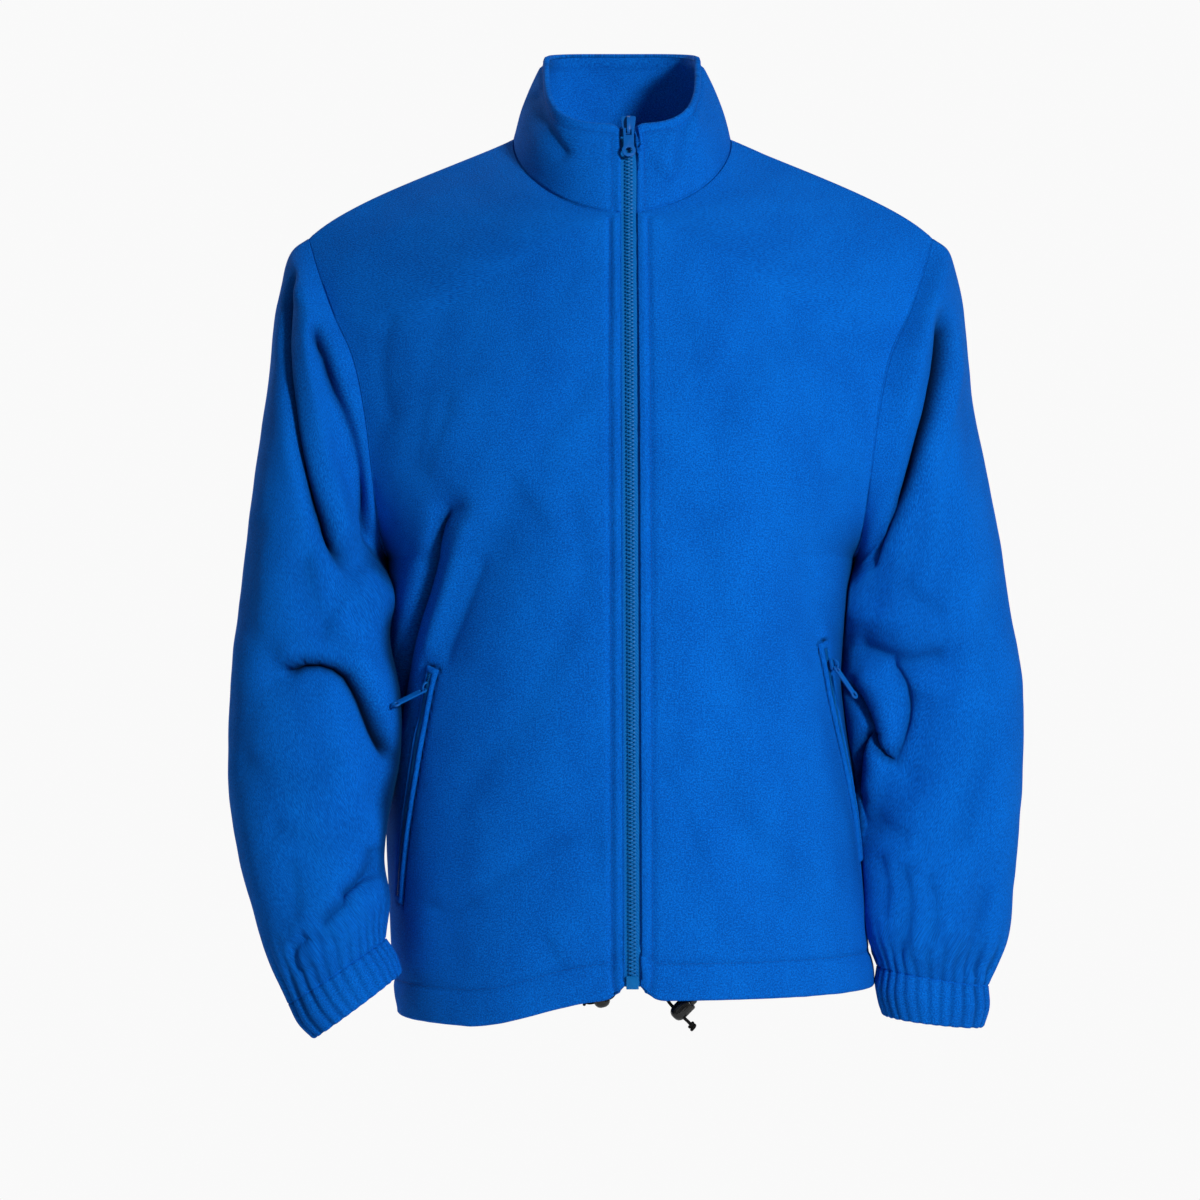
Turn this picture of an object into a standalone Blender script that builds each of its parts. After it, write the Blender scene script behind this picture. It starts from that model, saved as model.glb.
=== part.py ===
"""A blue fleece winter jacket with a stand collar and a full front zip, filled out as when it is worn.

Metres, +Z up. The front faces -Y and the wearer's left is at +X. The origin is the middle of the neck
opening, level with the side neck points, where the neck and the shoulders of the wearer carry it.

The body is lofted through level sections up to the armpits. Above them each row of points runs from the
front edge or the neckline to the armhole, so the rows fan out up to the shoulder seam. A sleeve starts on
the points of its armhole and runs through rings down the hanging arm. Creases then press into the cloth.
"""

import math
from types import SimpleNamespace

import bmesh
import bpy
import numpy as np
from mathutils import Matrix, Vector
from mathutils.bvhtree import BVHTree

SEAM_GAP = 0.0003
FLEECE = 0.0025
TURNED_UP = 0.0045
COLLAR_WALL = 0.0050
CUFF_WALL = 0.0042

HEM_Z = -0.675
HEM_CASING = 0.029
ARMPIT_Z = -0.335
HEM_ROWS = 2
SIDE_ROWS = 10
ARMHOLE_ROWS = 14
FRONT_NECK_ROWS = 6
BACK_NECK_ROWS = 4
PANEL_COLUMNS = 11

ZIP_HALF_GAP = 0.0070
NECK_MIDDLE = 0.004
SHOULDER_MIDDLE = 0.003
ARMHOLE_CENTRE = (0.205, 0.0, -0.200)

# Body sections: height, x of the side at the wearer's left and right, depth of the front and of the back.
SECTIONS = (
    (-0.675, 0.2060, -0.1750, 0.128, 0.112),
    (-0.630, 0.1990, -0.1800, 0.132, 0.112),
    (-0.580, 0.1950, -0.1830, 0.136, 0.110),
    (-0.540, 0.1920, -0.1845, 0.139, 0.108),
    (-0.500, 0.1870, -0.1850, 0.142, 0.107),
    (-0.460, 0.1815, -0.1860, 0.144, 0.108),
    (-0.430, 0.1785, -0.1870, 0.145, 0.110),
    (-0.400, 0.1800, -0.1870, 0.145, 0.112),
    (-0.360, 0.1855, -0.1855, 0.145, 0.117),
    (-0.335, 0.1890, -0.1830, 0.1445, 0.120),
)
# The middle of the front and of the back above the armpits: height, y.
FRONT_MIDDLE = (
    (-0.335, -0.1445),
    (-0.280, -0.1430),
    (-0.230, -0.1370),
    (-0.180, -0.1280),
    (-0.140, -0.1180),
    (-0.100, -0.1050),
    (-0.068, -0.0920),
)
BACK_MIDDLE = (
    (-0.335, 0.120),
    (-0.260, 0.128),
    (-0.180, 0.130),
    (-0.110, 0.122),
    (-0.050, 0.105),
    (0.018, 0.075),
)
# Armholes from the shoulder point to the armpit: distance from the middle, y, z.
FRONT_ARMHOLE = (
    (0.2495, -0.003, -0.0820),
    (0.2380, -0.030, -0.1130),
    (0.2255, -0.050, -0.1449),
    (0.2110, -0.066, -0.1758),
    (0.2000, -0.078, -0.2227),
    (0.1950, -0.078, -0.2620),
    (0.1910, -0.055, -0.3030),
    (0.1880, -0.025, -0.3280),
    (0.1860, 0.000, -0.3350),
)
BACK_ARMHOLE = (
    (0.2495, -0.003, -0.0820),
    (0.2420, 0.020, -0.1040),
    (0.2310, 0.042, -0.1330),
    (0.2160, 0.066, -0.1800),
    (0.2060, 0.080, -0.2350),
    (0.1980, 0.074, -0.2850),
    (0.1900, 0.037, -0.3240),
    (0.1860, 0.000, -0.3350),
)
# How each row above the armpits bends: its place from armpit to shoulder, then for its inner and for its
# outer end the length of the handle as a share of the row's width, and the handle's y and z.
FRONT_BENDS = (
    (0.00, 0.55, 0.000, 0.000, 0.000, -0.0867, 0.000),
    (0.25, 0.54, -0.004, -0.007, -0.145, -0.054, 0.020),
    (0.50, 0.37, -0.0065, -0.019, -0.250, -0.029, 0.029),
    (0.58, 0.34, -0.010, -0.022, -0.255, -0.024, 0.034),
    (0.75, 0.28, -0.008, -0.0225, -0.264, -0.017, 0.028),
    (1.00, 0.33, 0.000, -0.022, -0.304, 0.002, 0.034),
)
BACK_BENDS = (
    (0.00, 0.55, 0.000, 0.000, 0.000, 0.0720, 0.000),
    (0.25, 0.56, 0.004, -0.004, -0.150, 0.052, 0.018),
    (0.50, 0.35, 0.006, -0.018, -0.256, 0.034, 0.025),
    (0.71, 0.29, 0.022, -0.022, -0.245, 0.042, 0.048),
    (0.86, 0.25, 0.012, -0.018, -0.276, 0.024, 0.036),
    (1.00, 0.33, 0.000, -0.022, -0.304, 0.002, 0.034),
)
SECTION_FRONT_HANDLE, SECTION_SIDE_HANDLE = 0.55, 0.60

# The neck seam and the collar's upper edge: half width, front and back depth, height at the side, and
# how steeply the front and the back climb with y.
NECK_SEAM = (0.0870, 0.092, 0.075, 0.000, 0.740, 0.240)
COLLAR_TOP = (0.0625, 0.075, 0.066, 0.068, 0.850, 0.180)
NECK_FULLNESS = 1.85
COLLAR_ROWS = 4
COLLAR_BULGE = 0.0035

# Sleeve rings from the shoulder to the cuff seam: outer x and z, inner x and z, middle y, half depth.
LEFT_SLEEVE = (
    (0.2675, -0.0980, 0.1915, -0.3420, 0.000, 0.0810),
    (0.2765, -0.1280, 0.1905, -0.3510, 0.002, 0.0810),
    (0.2875, -0.2150, 0.1860, -0.3680, 0.006, 0.0760),
    (0.3030, -0.2950, 0.1810, -0.3860, 0.014, 0.0700),
    (0.3155, -0.3680, 0.1780, -0.4150, 0.022, 0.0670),
    (0.3265, -0.4350, 0.1770, -0.4520, 0.028, 0.0660),
    (0.3280, -0.4900, 0.1820, -0.4950, 0.028, 0.0640),
    (0.3240, -0.5450, 0.1870, -0.5450, 0.022, 0.0610),
    (0.3185, -0.5950, 0.1910, -0.5920, 0.010, 0.0560),
    (0.3115, -0.6360, 0.1950, -0.6320, -0.006, 0.0500),
    (0.2955, -0.6740, 0.2065, -0.6590, -0.014, 0.0360),
)
RIGHT_SLEEVE = (
    (-0.2620, -0.0980, -0.1855, -0.3420, -0.002, 0.0810),
    (-0.2725, -0.1300, -0.1845, -0.3510, -0.006, 0.0810),
    (-0.2810, -0.2150, -0.1820, -0.3680, -0.020, 0.0770),
    (-0.2890, -0.2950, -0.1810, -0.3880, -0.036, 0.0720),
    (-0.2960, -0.3650, -0.1775, -0.4080, -0.050, 0.0680),
    (-0.3020, -0.4300, -0.1700, -0.4400, -0.062, 0.0670),
    (-0.3035, -0.4900, -0.1690, -0.4850, -0.068, 0.0660),
    (-0.2985, -0.5450, -0.1780, -0.5300, -0.072, 0.0620),
    (-0.2880, -0.5950, -0.1810, -0.5680, -0.075, 0.0570),
    (-0.2765, -0.6450, -0.1765, -0.6030, -0.078, 0.0500),
    (-0.2561, -0.6812, -0.1799, -0.6307, -0.080, 0.0360),
)
SLEEVE_ROWS = 20
SLEEVE_CAP_SPACING = 1.22
SLEEVE_HEAD = (0.60, 0.45, 0.25)  # how far each of the first rings takes the armhole's outline
SLEEVE_FULLNESS = 2.25
SLEEVE_CLEAR = 0.0022

# Cuffs from the seam down: outer x and z, inner x and z, middle y, half depth.
LEFT_CUFF = (
    (0.2955, -0.6740, 0.2065, -0.6590, -0.014, 0.0360),
    (0.2965, -0.6900, 0.2045, -0.6770, -0.014, 0.0375),
    (0.2915, -0.7080, 0.2110, -0.6990, -0.014, 0.0335),
)
RIGHT_CUFF = (
    (-0.2561, -0.6812, -0.1799, -0.6307, -0.080, 0.0360),
    (-0.2480, -0.6970, -0.1715, -0.6435, -0.080, 0.0375),
    (-0.2359, -0.7092, -0.1667, -0.6579, -0.080, 0.0335),
)
CUFF_GATHER = 0.0012

# The largest creases: half width and depth of the trough, then its route as x and z, seen from the front.
FRONT_CREASES = (
    (0.015, 0.0110, ((-0.124, -0.262), (-0.134, -0.318), (-0.146, -0.368), (-0.160, -0.410), (-0.163, -0.450))),
    (0.018, 0.0045, ((-0.085, -0.300), (-0.104, -0.350), (-0.132, -0.405))),
    (0.017, 0.0050, ((0.172, -0.285), (0.152, -0.350), (0.150, -0.400))),
    (0.020, 0.0040, ((-0.025, -0.560), (-0.080, -0.590), (-0.130, -0.625))),
    (0.020, 0.0040, ((0.070, -0.470), (0.095, -0.550), (0.125, -0.600))),
)
BACK_CREASES = (
    (0.018, 0.0080, ((0.168, -0.265), (0.146, -0.345), (0.138, -0.430))),
    (0.018, 0.0080, ((-0.162, -0.260), (-0.142, -0.335), (-0.132, -0.440))),
    (0.024, 0.0050, ((0.060, -0.400), (0.070, -0.480), (0.066, -0.590))),
    (0.024, 0.0050, ((-0.045, -0.420), (-0.062, -0.500), (-0.058, -0.600))),
)
LEFT_SLEEVE_CREASES = (
    (0.016, 0.0150, ((0.262, -0.150), (0.249, -0.207), (0.230, -0.280), (0.212, -0.330), (0.200, -0.365))),
    (0.016, 0.0110, ((0.198, -0.405), (0.222, -0.420), (0.262, -0.418))),
    (0.016, 0.0100, ((0.196, -0.540), (0.228, -0.510), (0.238, -0.455))),
    (0.016, 0.0080, ((0.296, -0.590), (0.288, -0.630), (0.282, -0.655))),
)
RIGHT_SLEEVE_CREASES = (
    (0.016, 0.0140, ((-0.252, -0.139), (-0.254, -0.190), (-0.243, -0.255), (-0.224, -0.312))),
    (0.016, 0.0130, ((-0.236, -0.160), (-0.210, -0.229), (-0.199, -0.278), (-0.198, -0.330))),
    (0.016, 0.0120, ((-0.262, -0.424), (-0.212, -0.422), (-0.190, -0.460), (-0.180, -0.520))),
    (0.015, 0.0100, ((-0.176, -0.585), (-0.206, -0.606), (-0.230, -0.628))),
)
SLEEVE_BACK_CREASES = (
    (0.018, 0.0120, ((0.258, -0.150), (0.240, -0.230), (0.215, -0.320))),
    (0.018, 0.0100, ((0.200, -0.430), (0.250, -0.415), (0.290, -0.440))),
    (0.018, 0.0090, ((0.215, -0.555), (0.262, -0.575), (0.300, -0.560))),
)

# The zip, from the hem to the collar's upper edge. Depths run inwards from the outer face of the fleece.
TAPE_ACROSS, TAPE_DEPTHS = (0.0004, 0.0066), (0.0010, 0.0018)
CHAIN_HALF_WIDTH, CHAIN_DEPTHS = 0.0028, (-0.0008, 0.0007)
BOX_HALF_WIDTH, BOX_DEPTHS, BOX_LENGTH = 0.00475, (-0.0016, 0.0007), 0.0100
ZIP_ROWS = 24
HEM_CORNER = (0.012, 0.014)  # how far from the zip, and how much, the front corners of the hem rise

# A slider and its pull: the plate's upper and lower width, length and thickness; the bail's length, rise
# and half width; and how far below the middle the pull's bar lies. Then the pull's length from the bar,
# strap, ring and hole, the window for the bail, and its thickness.
FRONT_SLIDER = dict(top=0.0115, bottom=0.0085, length=0.0155, thick=0.0026, bail=0.0150, rise=0.0040, half=0.0013, bar=0.0040, foot=0)
FRONT_PULL = dict(length=0.0240, strap=0.0082, ring=0.0107, hole=0.0052, window=(0.0044, 0.0056), thick=0.0015)
POCKET_SLIDER = dict(top=0.0062, bottom=0.0056, length=0.0090, thick=0.0018, bail=0.0092, rise=0.0044, half=0.0010, bar=0.0020, foot=0.0009)
POCKET_PULL = dict(length=0.0300, strap=0.0058, ring=0.0074, hole=0.0034, window=(0.0032, 0.0046), thick=0.0014)
SLIDER_FROM_TOP, SLIDER_LIFT, CHAIN_FROM_TOP = 0.0050, 0.0011, 0.0015
BAR_GAP, BAR_HALF = 0.0004, 0.0007

# Pockets: height and place across the front of the opening's top and bottom, then how far down it the
# slider stands, and how many degrees its pull is raised off the cloth.
POCKETS = {
    1: dict(top=(-0.401, 0.715), bottom=(-0.575, 0.930), slider=0.10, raised=30),
    -1: dict(top=(-0.420, 0.565), bottom=(-0.594, 0.790), slider=0.09, raised=62),
}
WELT_ROWS, WELT_HALF_WIDTH, SLOT_HALF_WIDTH, WELT_END = 18, 0.0064, 0.0021, 0.0060
WELT_LIFT, WELT_THICK = 0.0009, 0.0014
POCKET_ZIP_HALF_WIDTH, POCKET_ZIP_THICK, POCKET_ZIP_END = 0.0017, 0.0010, 0.0065
POCKET_SLIDER_LIFT = 0.0036  # its plate stands over the welts on a stem that reaches into the slot
STEM_HALF_WIDTH = 0.0014

# Cord locks: the middle of the barrel, the way its button points, and the drawcord's end, from its eyelet
# inside the hem, through the barrel, to its knot. Profiles are radius and height in millimetres.
CORD_LOCKS = {
    1: dict(
        middle=(0.0495, -0.1145, -0.6815),
        button=(0.70, 0.0, 0.71),
        cord=(
            (0.0338, -0.1222, -0.6600), (0.0343, -0.1208, -0.6624), (0.0347, -0.1194, -0.6648),
            (0.0351, -0.1181, -0.6672), (0.0358, -0.1169, -0.6696), (0.0367, -0.1159, -0.6719),
            (0.0379, -0.1152, -0.6743), (0.0395, -0.1147, -0.6768), (0.0416, -0.1145, -0.6793),
            (0.0441, -0.1145, -0.6818), (0.0467, -0.1145, -0.6843), (0.0493, -0.1145, -0.6869),
            (0.0518, -0.1145, -0.6894), (0.0543, -0.1144, -0.6918), (0.0566, -0.1142, -0.6943),
            (0.0586, -0.1140, -0.6970),
        ),
    ),
    -1: dict(
        middle=(-0.0132, -0.1150, -0.6712),
        button=(-0.25, 0.0, 0.97),
        cord=(
            (-0.0034, -0.1230, -0.6590), (-0.0028, -0.1216, -0.6613), (-0.0022, -0.1201, -0.6636),
            (-0.0019, -0.1186, -0.6659), (-0.0021, -0.1172, -0.6682), (-0.0029, -0.1160, -0.6704),
            (-0.0043, -0.1152, -0.6723), (-0.0063, -0.1150, -0.6735), (-0.0092, -0.1150, -0.6743),
            (-0.0122, -0.1150, -0.6751), (-0.0155, -0.1150, -0.6760), (-0.0190, -0.1150, -0.6768),
            (-0.0222, -0.1149, -0.6771), (-0.0251, -0.1147, -0.6762), (-0.0273, -0.1145, -0.6741),
        ),
    ),
}  # fmt: skip
BARREL = (
    (0, -9.5), (3.2, -9.1), (5.3, -7.6), (6.3, -5.2), (6.5, -3.0),
    (6.5, 6.8), (6.0, 8.0), (4.9, 8.0), (4.9, 0.0), (0, 0.0),
)  # fmt: skip
BUTTON = ((0, 4.2), (4.5, 4.2), (4.5, 11.2), (3.8, 12.4), (0, 12.8))
CORD_PLACE = -0.0040  # along the barrel from its middle
CORD_RADIUS, CORD_HOLE_RADIUS, KNOT_SHARE, CORD_STEPS = 0.0013, 0.0018, 2.0, 20

FLEECE_BLUE = (0.001, 0.110, 0.533)
ZIP_TEAL = (0.004, 0.150, 0.430)
BLACK = (0.012, 0.012, 0.014)
WORDS = {1: "left", -1: "right"}
ARMPIT_ROW = HEM_ROWS + SIDE_ROWS
TOP_ROW = ARMPIT_ROW + ARMHOLE_ROWS
AROUND_SLEEVE = 2 * ARMHOLE_ROWS
FRONT_EDGE = np.s_[: TOP_ROW - FRONT_NECK_ROWS + 1, 0]


def unit(vectors):
    vectors = np.asarray(vectors, float)
    return vectors / np.linalg.norm(vectors, axis=-1, keepdims=True)


def ease(share):
    share = np.clip(share, 0, 1)
    return share**2 * (3 - 2 * share)


def smooth(table, at):
    """Values at the places `at`, on a smooth curve through a table whose first column is the place."""
    table = np.asarray(table, float)
    place, values = table[:, 0], table[:, 1:]
    slopes = np.gradient(values, place, axis=0)
    low = np.clip(np.searchsorted(place, at, "right") - 1, 0, len(place) - 2)
    step = (place[low + 1] - place[low])[:, None]
    f = (at - place[low])[:, None] / step
    return (
        (1 + 2 * f) * (1 - f) ** 2 * values[low]
        + f**2 * (3 - 2 * f) * values[low + 1]
        + f * (1 - f) ** 2 * step * slopes[low]
        - f**2 * (1 - f) * step * slopes[low + 1]
    )


def along(points):
    """How far along a run of points each one lies."""
    return np.concatenate([[0], np.cumsum(np.linalg.norm(np.diff(points, axis=0), axis=1))])


def evenly(points, count, start=0, end=0):
    """count + 1 even points on the smooth curve through these points, without `start` and `end` metres of it."""
    points = np.asarray(points, float)
    place = along(points)
    dense = smooth(np.column_stack([place, points]), np.linspace(0, place[-1], 30 * count + 1))
    length = along(dense)
    wanted = np.linspace(start, length[-1] - end, count + 1)
    return np.column_stack([np.interp(wanted, length, column) for column in dense.T])


def zip_x(z):
    """The zip hangs a little towards the wearer's left."""
    return 0.0085 - 0.004 * z


def settle(points):
    """Lets the hem down at the wearer's right, and rounds the front corners of the hem up to the zip."""
    x, y, z = np.moveaxis(points, -1, 0)
    width, rise = HEM_CORNER
    corner = rise * np.exp(-(((x - zip_x(z)) / width) ** 2)) * np.clip((HEM_Z + HEM_CASING - z) / HEM_CASING, 0, 1)
    fall = 0.023 * ease((-x - 0.005) / 0.115) * np.clip((-0.42 - z) / 0.24, 0, 1) ** 2
    return np.stack([x, y, z + np.where(y < 0, corner, 0) - fall], axis=-1)


def neck_ring(shape, angle):
    """Points of a neck ring. At angle 0 is the middle front, at a half turn the middle back."""
    half_width, front, back, side_z, front_climb, back_climb = shape
    sine, cosine = np.sin(angle), np.cos(angle)
    reach = (np.abs(sine) ** NECK_FULLNESS + np.abs(cosine) ** NECK_FULLNESS) ** (-1 / NECK_FULLNESS)
    y = -cosine * reach * np.where(cosine > 0, front, back)
    z = side_z + y * np.where(y < 0, front_climb, back_climb)
    return np.column_stack([NECK_MIDDLE + half_width * sine * reach, y, z])


def level_rows(side, face):
    """Control points of the rows from the hem to the armpit of one half of the front or the back."""
    casing = np.linspace(HEM_Z, HEM_Z + HEM_CASING, HEM_ROWS + 1)
    z = np.concatenate([casing[:-1], np.linspace(casing[-1], ARMPIT_Z, SIDE_ROWS + 1)])
    section, none = smooth(SECTIONS, z), np.zeros_like(z)
    side_x, y = section[:, 0 if side > 0 else 1], face * section[:, 2 if face < 0 else 3]
    middle_x = zip_x(z) + (side * ZIP_HALF_GAP if face < 0 else 0)
    inner, outer = np.column_stack([middle_x, y, z]), np.column_stack([side_x, none, z])
    inner_handle = inner + np.column_stack([SECTION_FRONT_HANDLE * (side_x - middle_x), none, none])
    outer_handle = outer + np.column_stack([none, SECTION_SIDE_HANDLE * y, none])
    return np.stack([inner, inner_handle, outer_handle, outer], axis=1)


def inner_ends(side, face):
    """Where the rows above the armpits start: up the middle of the front or back, then along the neck."""
    middle, neck_rows = (FRONT_MIDDLE, FRONT_NECK_ROWS) if face < 0 else (BACK_MIDDLE, BACK_NECK_ROWS)
    z = np.linspace(ARMPIT_Z, middle[-1][0], ARMHOLE_ROWS - neck_rows + 1)
    if face < 0:
        x = zip_x(z) + side * ZIP_HALF_GAP
        start = math.asin((x[-1] - NECK_MIDDLE) / NECK_SEAM[0])
    else:
        x = NECK_MIDDLE + (zip_x(ARMPIT_Z) - NECK_MIDDLE) * np.linspace(1, 0, len(z))
        start = side * math.pi
    middle_points = np.column_stack([x, smooth(middle, z)[:, 0], z])
    seam = neck_ring(NECK_SEAM, np.linspace(start, side * math.pi / 2, 12))
    seam[0] = middle_points[-1]
    return np.vstack([middle_points[:-1], evenly(seam, neck_rows)])


def half_panel(side, face):
    """Points of one half of the front or the back, from its middle edge to the side seam and armhole."""
    inner = inner_ends(side, face)
    armhole = np.array((FRONT_ARMHOLE if face < 0 else BACK_ARMHOLE)[::-1])
    armhole[:, 0] = SHOULDER_MIDDLE + side * armhole[:, 0]
    outer = evenly(armhole, ARMHOLE_ROWS)
    bends = smooth(FRONT_BENDS if face < 0 else BACK_BENDS, np.linspace(0, 1, ARMHOLE_ROWS + 1))
    width = (outer - inner)[:, :1]
    inner_handle = inner + np.column_stack([bends[:, :1] * width, bends[:, 1:3]])
    outer_handle = outer + np.column_stack([bends[:, 3:4] * width, bends[:, 4:6]])
    upper = np.stack([inner, inner_handle, outer_handle, outer], axis=1)
    rows = np.concatenate([level_rows(side, face), upper[1:]])
    t = np.linspace(0, 1, PANEL_COLUMNS + 1)[:, None]
    share = np.hstack([(1 - t) ** 3, 3 * t * (1 - t) ** 2, 3 * t**2 * (1 - t), t**3])
    return settle(np.einsum("tc,rcx->rtx", share, rows))


def hoops(table):
    """Rings of a sleeve or cuff. Each starts at its outer side and goes round by the front."""
    table = np.array(table)
    outer = np.column_stack([table[:, 0], table[:, 4], table[:, 1]])
    inner = np.column_stack([table[:, 2], table[:, 4], table[:, 3]])
    angle = np.linspace(0, 2 * math.pi, AROUND_SLEEVE, endpoint=False)
    cosine, sine = np.cos(angle), np.sin(angle)
    reach = (np.abs(cosine) ** SLEEVE_FULLNESS + np.abs(sine) ** SLEEVE_FULLNESS) ** (-1 / SLEEVE_FULLNESS)
    rings = (outer + inner)[:, None] / 2 + (outer - inner)[:, None] / 2 * (cosine * reach)[:, None]
    rings[..., 1] -= table[:, 5, None] * sine * reach
    return rings


def sleeve_points(side, front, back):
    """Points of a sleeve, from its armhole to the cuff seam."""
    loop = np.vstack([front[TOP_ROW : ARMPIT_ROW - 1 : -1, -1], back[ARMPIT_ROW + 1 : TOP_ROW, -1]])
    rings, head = hoops(LEFT_SLEEVE if side > 0 else RIGHT_SLEEVE), len(SLEEVE_HEAD)
    like_armhole = loop - loop.mean(axis=0) + rings[:head].mean(axis=1, keepdims=True)
    outer = 0.5 + 0.5 * np.cos(np.linspace(0, 2 * math.pi, AROUND_SLEEVE, endpoint=False))
    rings[:head] += (like_armhole - rings[:head]) * np.outer(SLEEVE_HEAD, outer)[..., None]
    stations = np.concatenate([loop[None], rings])
    steps = np.linalg.norm(np.diff(stations, axis=0), axis=2).mean(axis=1)
    place = np.concatenate([[0], np.cumsum(steps)])
    table = np.column_stack([place, stations.reshape(len(stations), -1)])
    down = np.linspace(0, 1, SLEEVE_ROWS + 1) ** SLEEVE_CAP_SPACING * place[-1]
    return smooth(table, down).reshape(SLEEVE_ROWS + 1, -1, 3)


def cuff_points(side):
    """Points of a cuff, whose elastic gathers it into small pleats below the seam."""
    rings = hoops(LEFT_CUFF if side > 0 else RIGHT_CUFF)
    pleat = np.resize([1, -1], AROUND_SLEEVE)[:, None] * CUFF_GATHER
    rings[1:] += unit(rings[1:] - rings[1:].mean(axis=1, keepdims=True)) * pleat
    return rings


def collar_points(seam):
    """Points of the collar, up from the neck seam, from the left front edge round to the right one."""
    angle = np.arctan2(seam[:, 0] - NECK_MIDDLE, -seam[:, 1])
    top = neck_ring(COLLAR_TOP, angle)
    top[0, 0], top[-1, 0] = zip_x(0) + ZIP_HALF_GAP, zip_x(0) - ZIP_HALF_GAP
    up = np.linspace(0, 1, COLLAR_ROWS + 1)[:, None, None]
    outwards = np.column_stack([np.sin(angle), -np.cos(angle), 0 * angle])
    return seam + (top - seam) * up + COLLAR_BULGE * np.sin(math.pi * up) * outwards


def press(points, facing, creases, face, around=False):
    """Presses creases into the side of a grid that faces the front (face -1) or the back (face 1)."""
    share = np.clip(face * facing[..., 1] * 2.5, 0, 1)
    share[0] = share[-1] = 0
    if around:
        share[1:3] *= ((0,), (0.5,))
    else:
        share[:, 0] = share[:, -1] = 0
    sunk = np.zeros(points.shape[:2])
    for half_width, depth, route in creases:
        route = np.array(route)
        near = np.full(sunk.shape, np.inf)
        for start, end in zip(route[:-1], route[1:]):
            offset, leg = points[..., ::2] - start, end - start
            place = np.clip(offset @ leg / (leg @ leg), 0, 1)
            near = np.minimum(near, np.linalg.norm(offset - place[..., None] * leg, axis=-1))
        sunk = np.maximum(sunk, depth * np.exp(-((near / half_width) ** 2)))
    return points - facing * (sunk * share)[..., None]


def normals(points, around=False):
    """Unit normals of a grid: the way its columns run crossed with the way its rows run."""
    if around:
        across = np.roll(points, -1, axis=1) - np.roll(points, 1, axis=1)
    else:
        across = np.gradient(points, axis=1)
    return unit(np.cross(across, np.gradient(points, axis=0)))


def cloth(points, sign, thick=FLEECE, around=False):
    """A piece of cloth: a grid of outer points, the way each faces, its move at a seam, and the thickness."""
    return SimpleNamespace(
        points=points,
        facing=normals(points, around) * sign,
        shift=np.zeros_like(points),
        thick=np.full(points.shape[:2], thick),
        around=around,
    )


def sew(first, second, facing=None):
    """Gives the shared edge of two pieces one set of normals, and moves them apart by the seam's gap."""
    (piece, edge, beside), (other, other_edge, other_beside) = first, second
    points = piece.points[edge]
    normal = unit(piece.facing[edge] + other.facing[other_edge]) if facing is None else facing(points)
    piece.facing[edge] = other.facing[other_edge] = normal
    across = unit(np.cross(np.gradient(points, axis=0), normal))
    across *= np.sign(np.sum(across * (other.points[other_beside] - piece.points[beside])))
    piece.shift[edge] -= across * SEAM_GAP * 0.58
    other.shift[other_edge] += across * SEAM_GAP * 0.58


def triangles(rows, columns, around=False):
    """Corners of the two triangles of each cell of a grid, as (row, column) pairs."""
    for j in range(rows - 1):
        for i in range(columns if around else columns - 1):
            k = (i + 1) % columns
            yield (j, i), (j, k), (j + 1, k)
            yield (j, i), (j + 1, k), (j + 1, i)


def surface(*grids):
    """A tree of the triangles of some grids, to find points on them."""
    points, faces = [], []
    for grid in grids:
        rows, columns = grid.shape[:2]
        faces += [[len(points) + j * columns + i for j, i in three] for three in triangles(rows, columns)]
        points += grid.reshape(-1, 3).tolist()
    return BVHTree.FromPolygons(points, faces)


def clear_of_body(points, body):
    """Moves what hangs below the armpit out to a small gap from the body."""
    points = points.copy()
    for j, row in enumerate(points):
        least = SLEEVE_CLEAR * min(1, j / 2)
        for point in row:
            if j == 0 or point[2] > ARMPIT_Z:
                continue
            spot, out, _, _ = body.find_nearest(point.tolist())
            out = np.array(out) * (1 if out.x * (spot.x - zip_x(spot.z)) + out.y * spot.y > 0 else -1)
            off = (point - spot) @ out
            if off < least:
                point += out * (least - off)
    return points


def material(name, colour, roughness):
    made = bpy.data.materials.new(name)
    made.use_nodes = True
    shader = made.node_tree.nodes["Principled BSDF"]
    shader.inputs["Base Color"].default_value = (*colour, 1)
    shader.inputs["Roughness"].default_value = roughness
    made.diffuse_color = (*colour, 1)
    return made


def add(name, shape, look, matrix=None):
    """Adds a bmesh as a named object, smooth but for its sharp edges."""
    mesh = bpy.data.meshes.new(name)
    bmesh.ops.recalc_face_normals(shape, faces=shape.faces)
    shape.to_mesh(mesh)
    shape.free()
    mesh.shade_smooth()
    mesh.set_sharp_from_angle(angle=math.radians(40))
    mesh.materials.append(look)
    thing = bpy.data.objects.new(name, mesh)
    bpy.context.scene.collection.objects.link(thing)
    if matrix is not None:
        thing.matrix_world = matrix
    return thing


def wall(name, sheets, look, around=False):
    """One closed wall. Each sheet is a grid of outer and one of inner points; sheets join where they meet."""
    shape, made, inner_of = bmesh.new(), {}, {}
    for outer, inner in sheets:
        places = np.round(outer, 6)
        for place, point, behind in zip(places.reshape(-1, 3), outer.reshape(-1, 3), inner.reshape(-1, 3)):
            if tuple(place) not in made:
                made[tuple(place)] = shape.verts.new(point)
                inner_of[made[tuple(place)]] = shape.verts.new(behind)
        for three in triangles(*outer.shape[:2], around):
            corners = [made[tuple(places[corner])] for corner in three]
            shape.faces.new(corners)
            shape.faces.new([inner_of[corner] for corner in reversed(corners)])
    for edge in [edge for edge in shape.edges if edge.is_boundary and edge.verts[0] in inner_of]:
        start, end = edge.verts
        shape.faces.new((start, end, inner_of[end], inner_of[start]))
    return add(name, shape, look)


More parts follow.
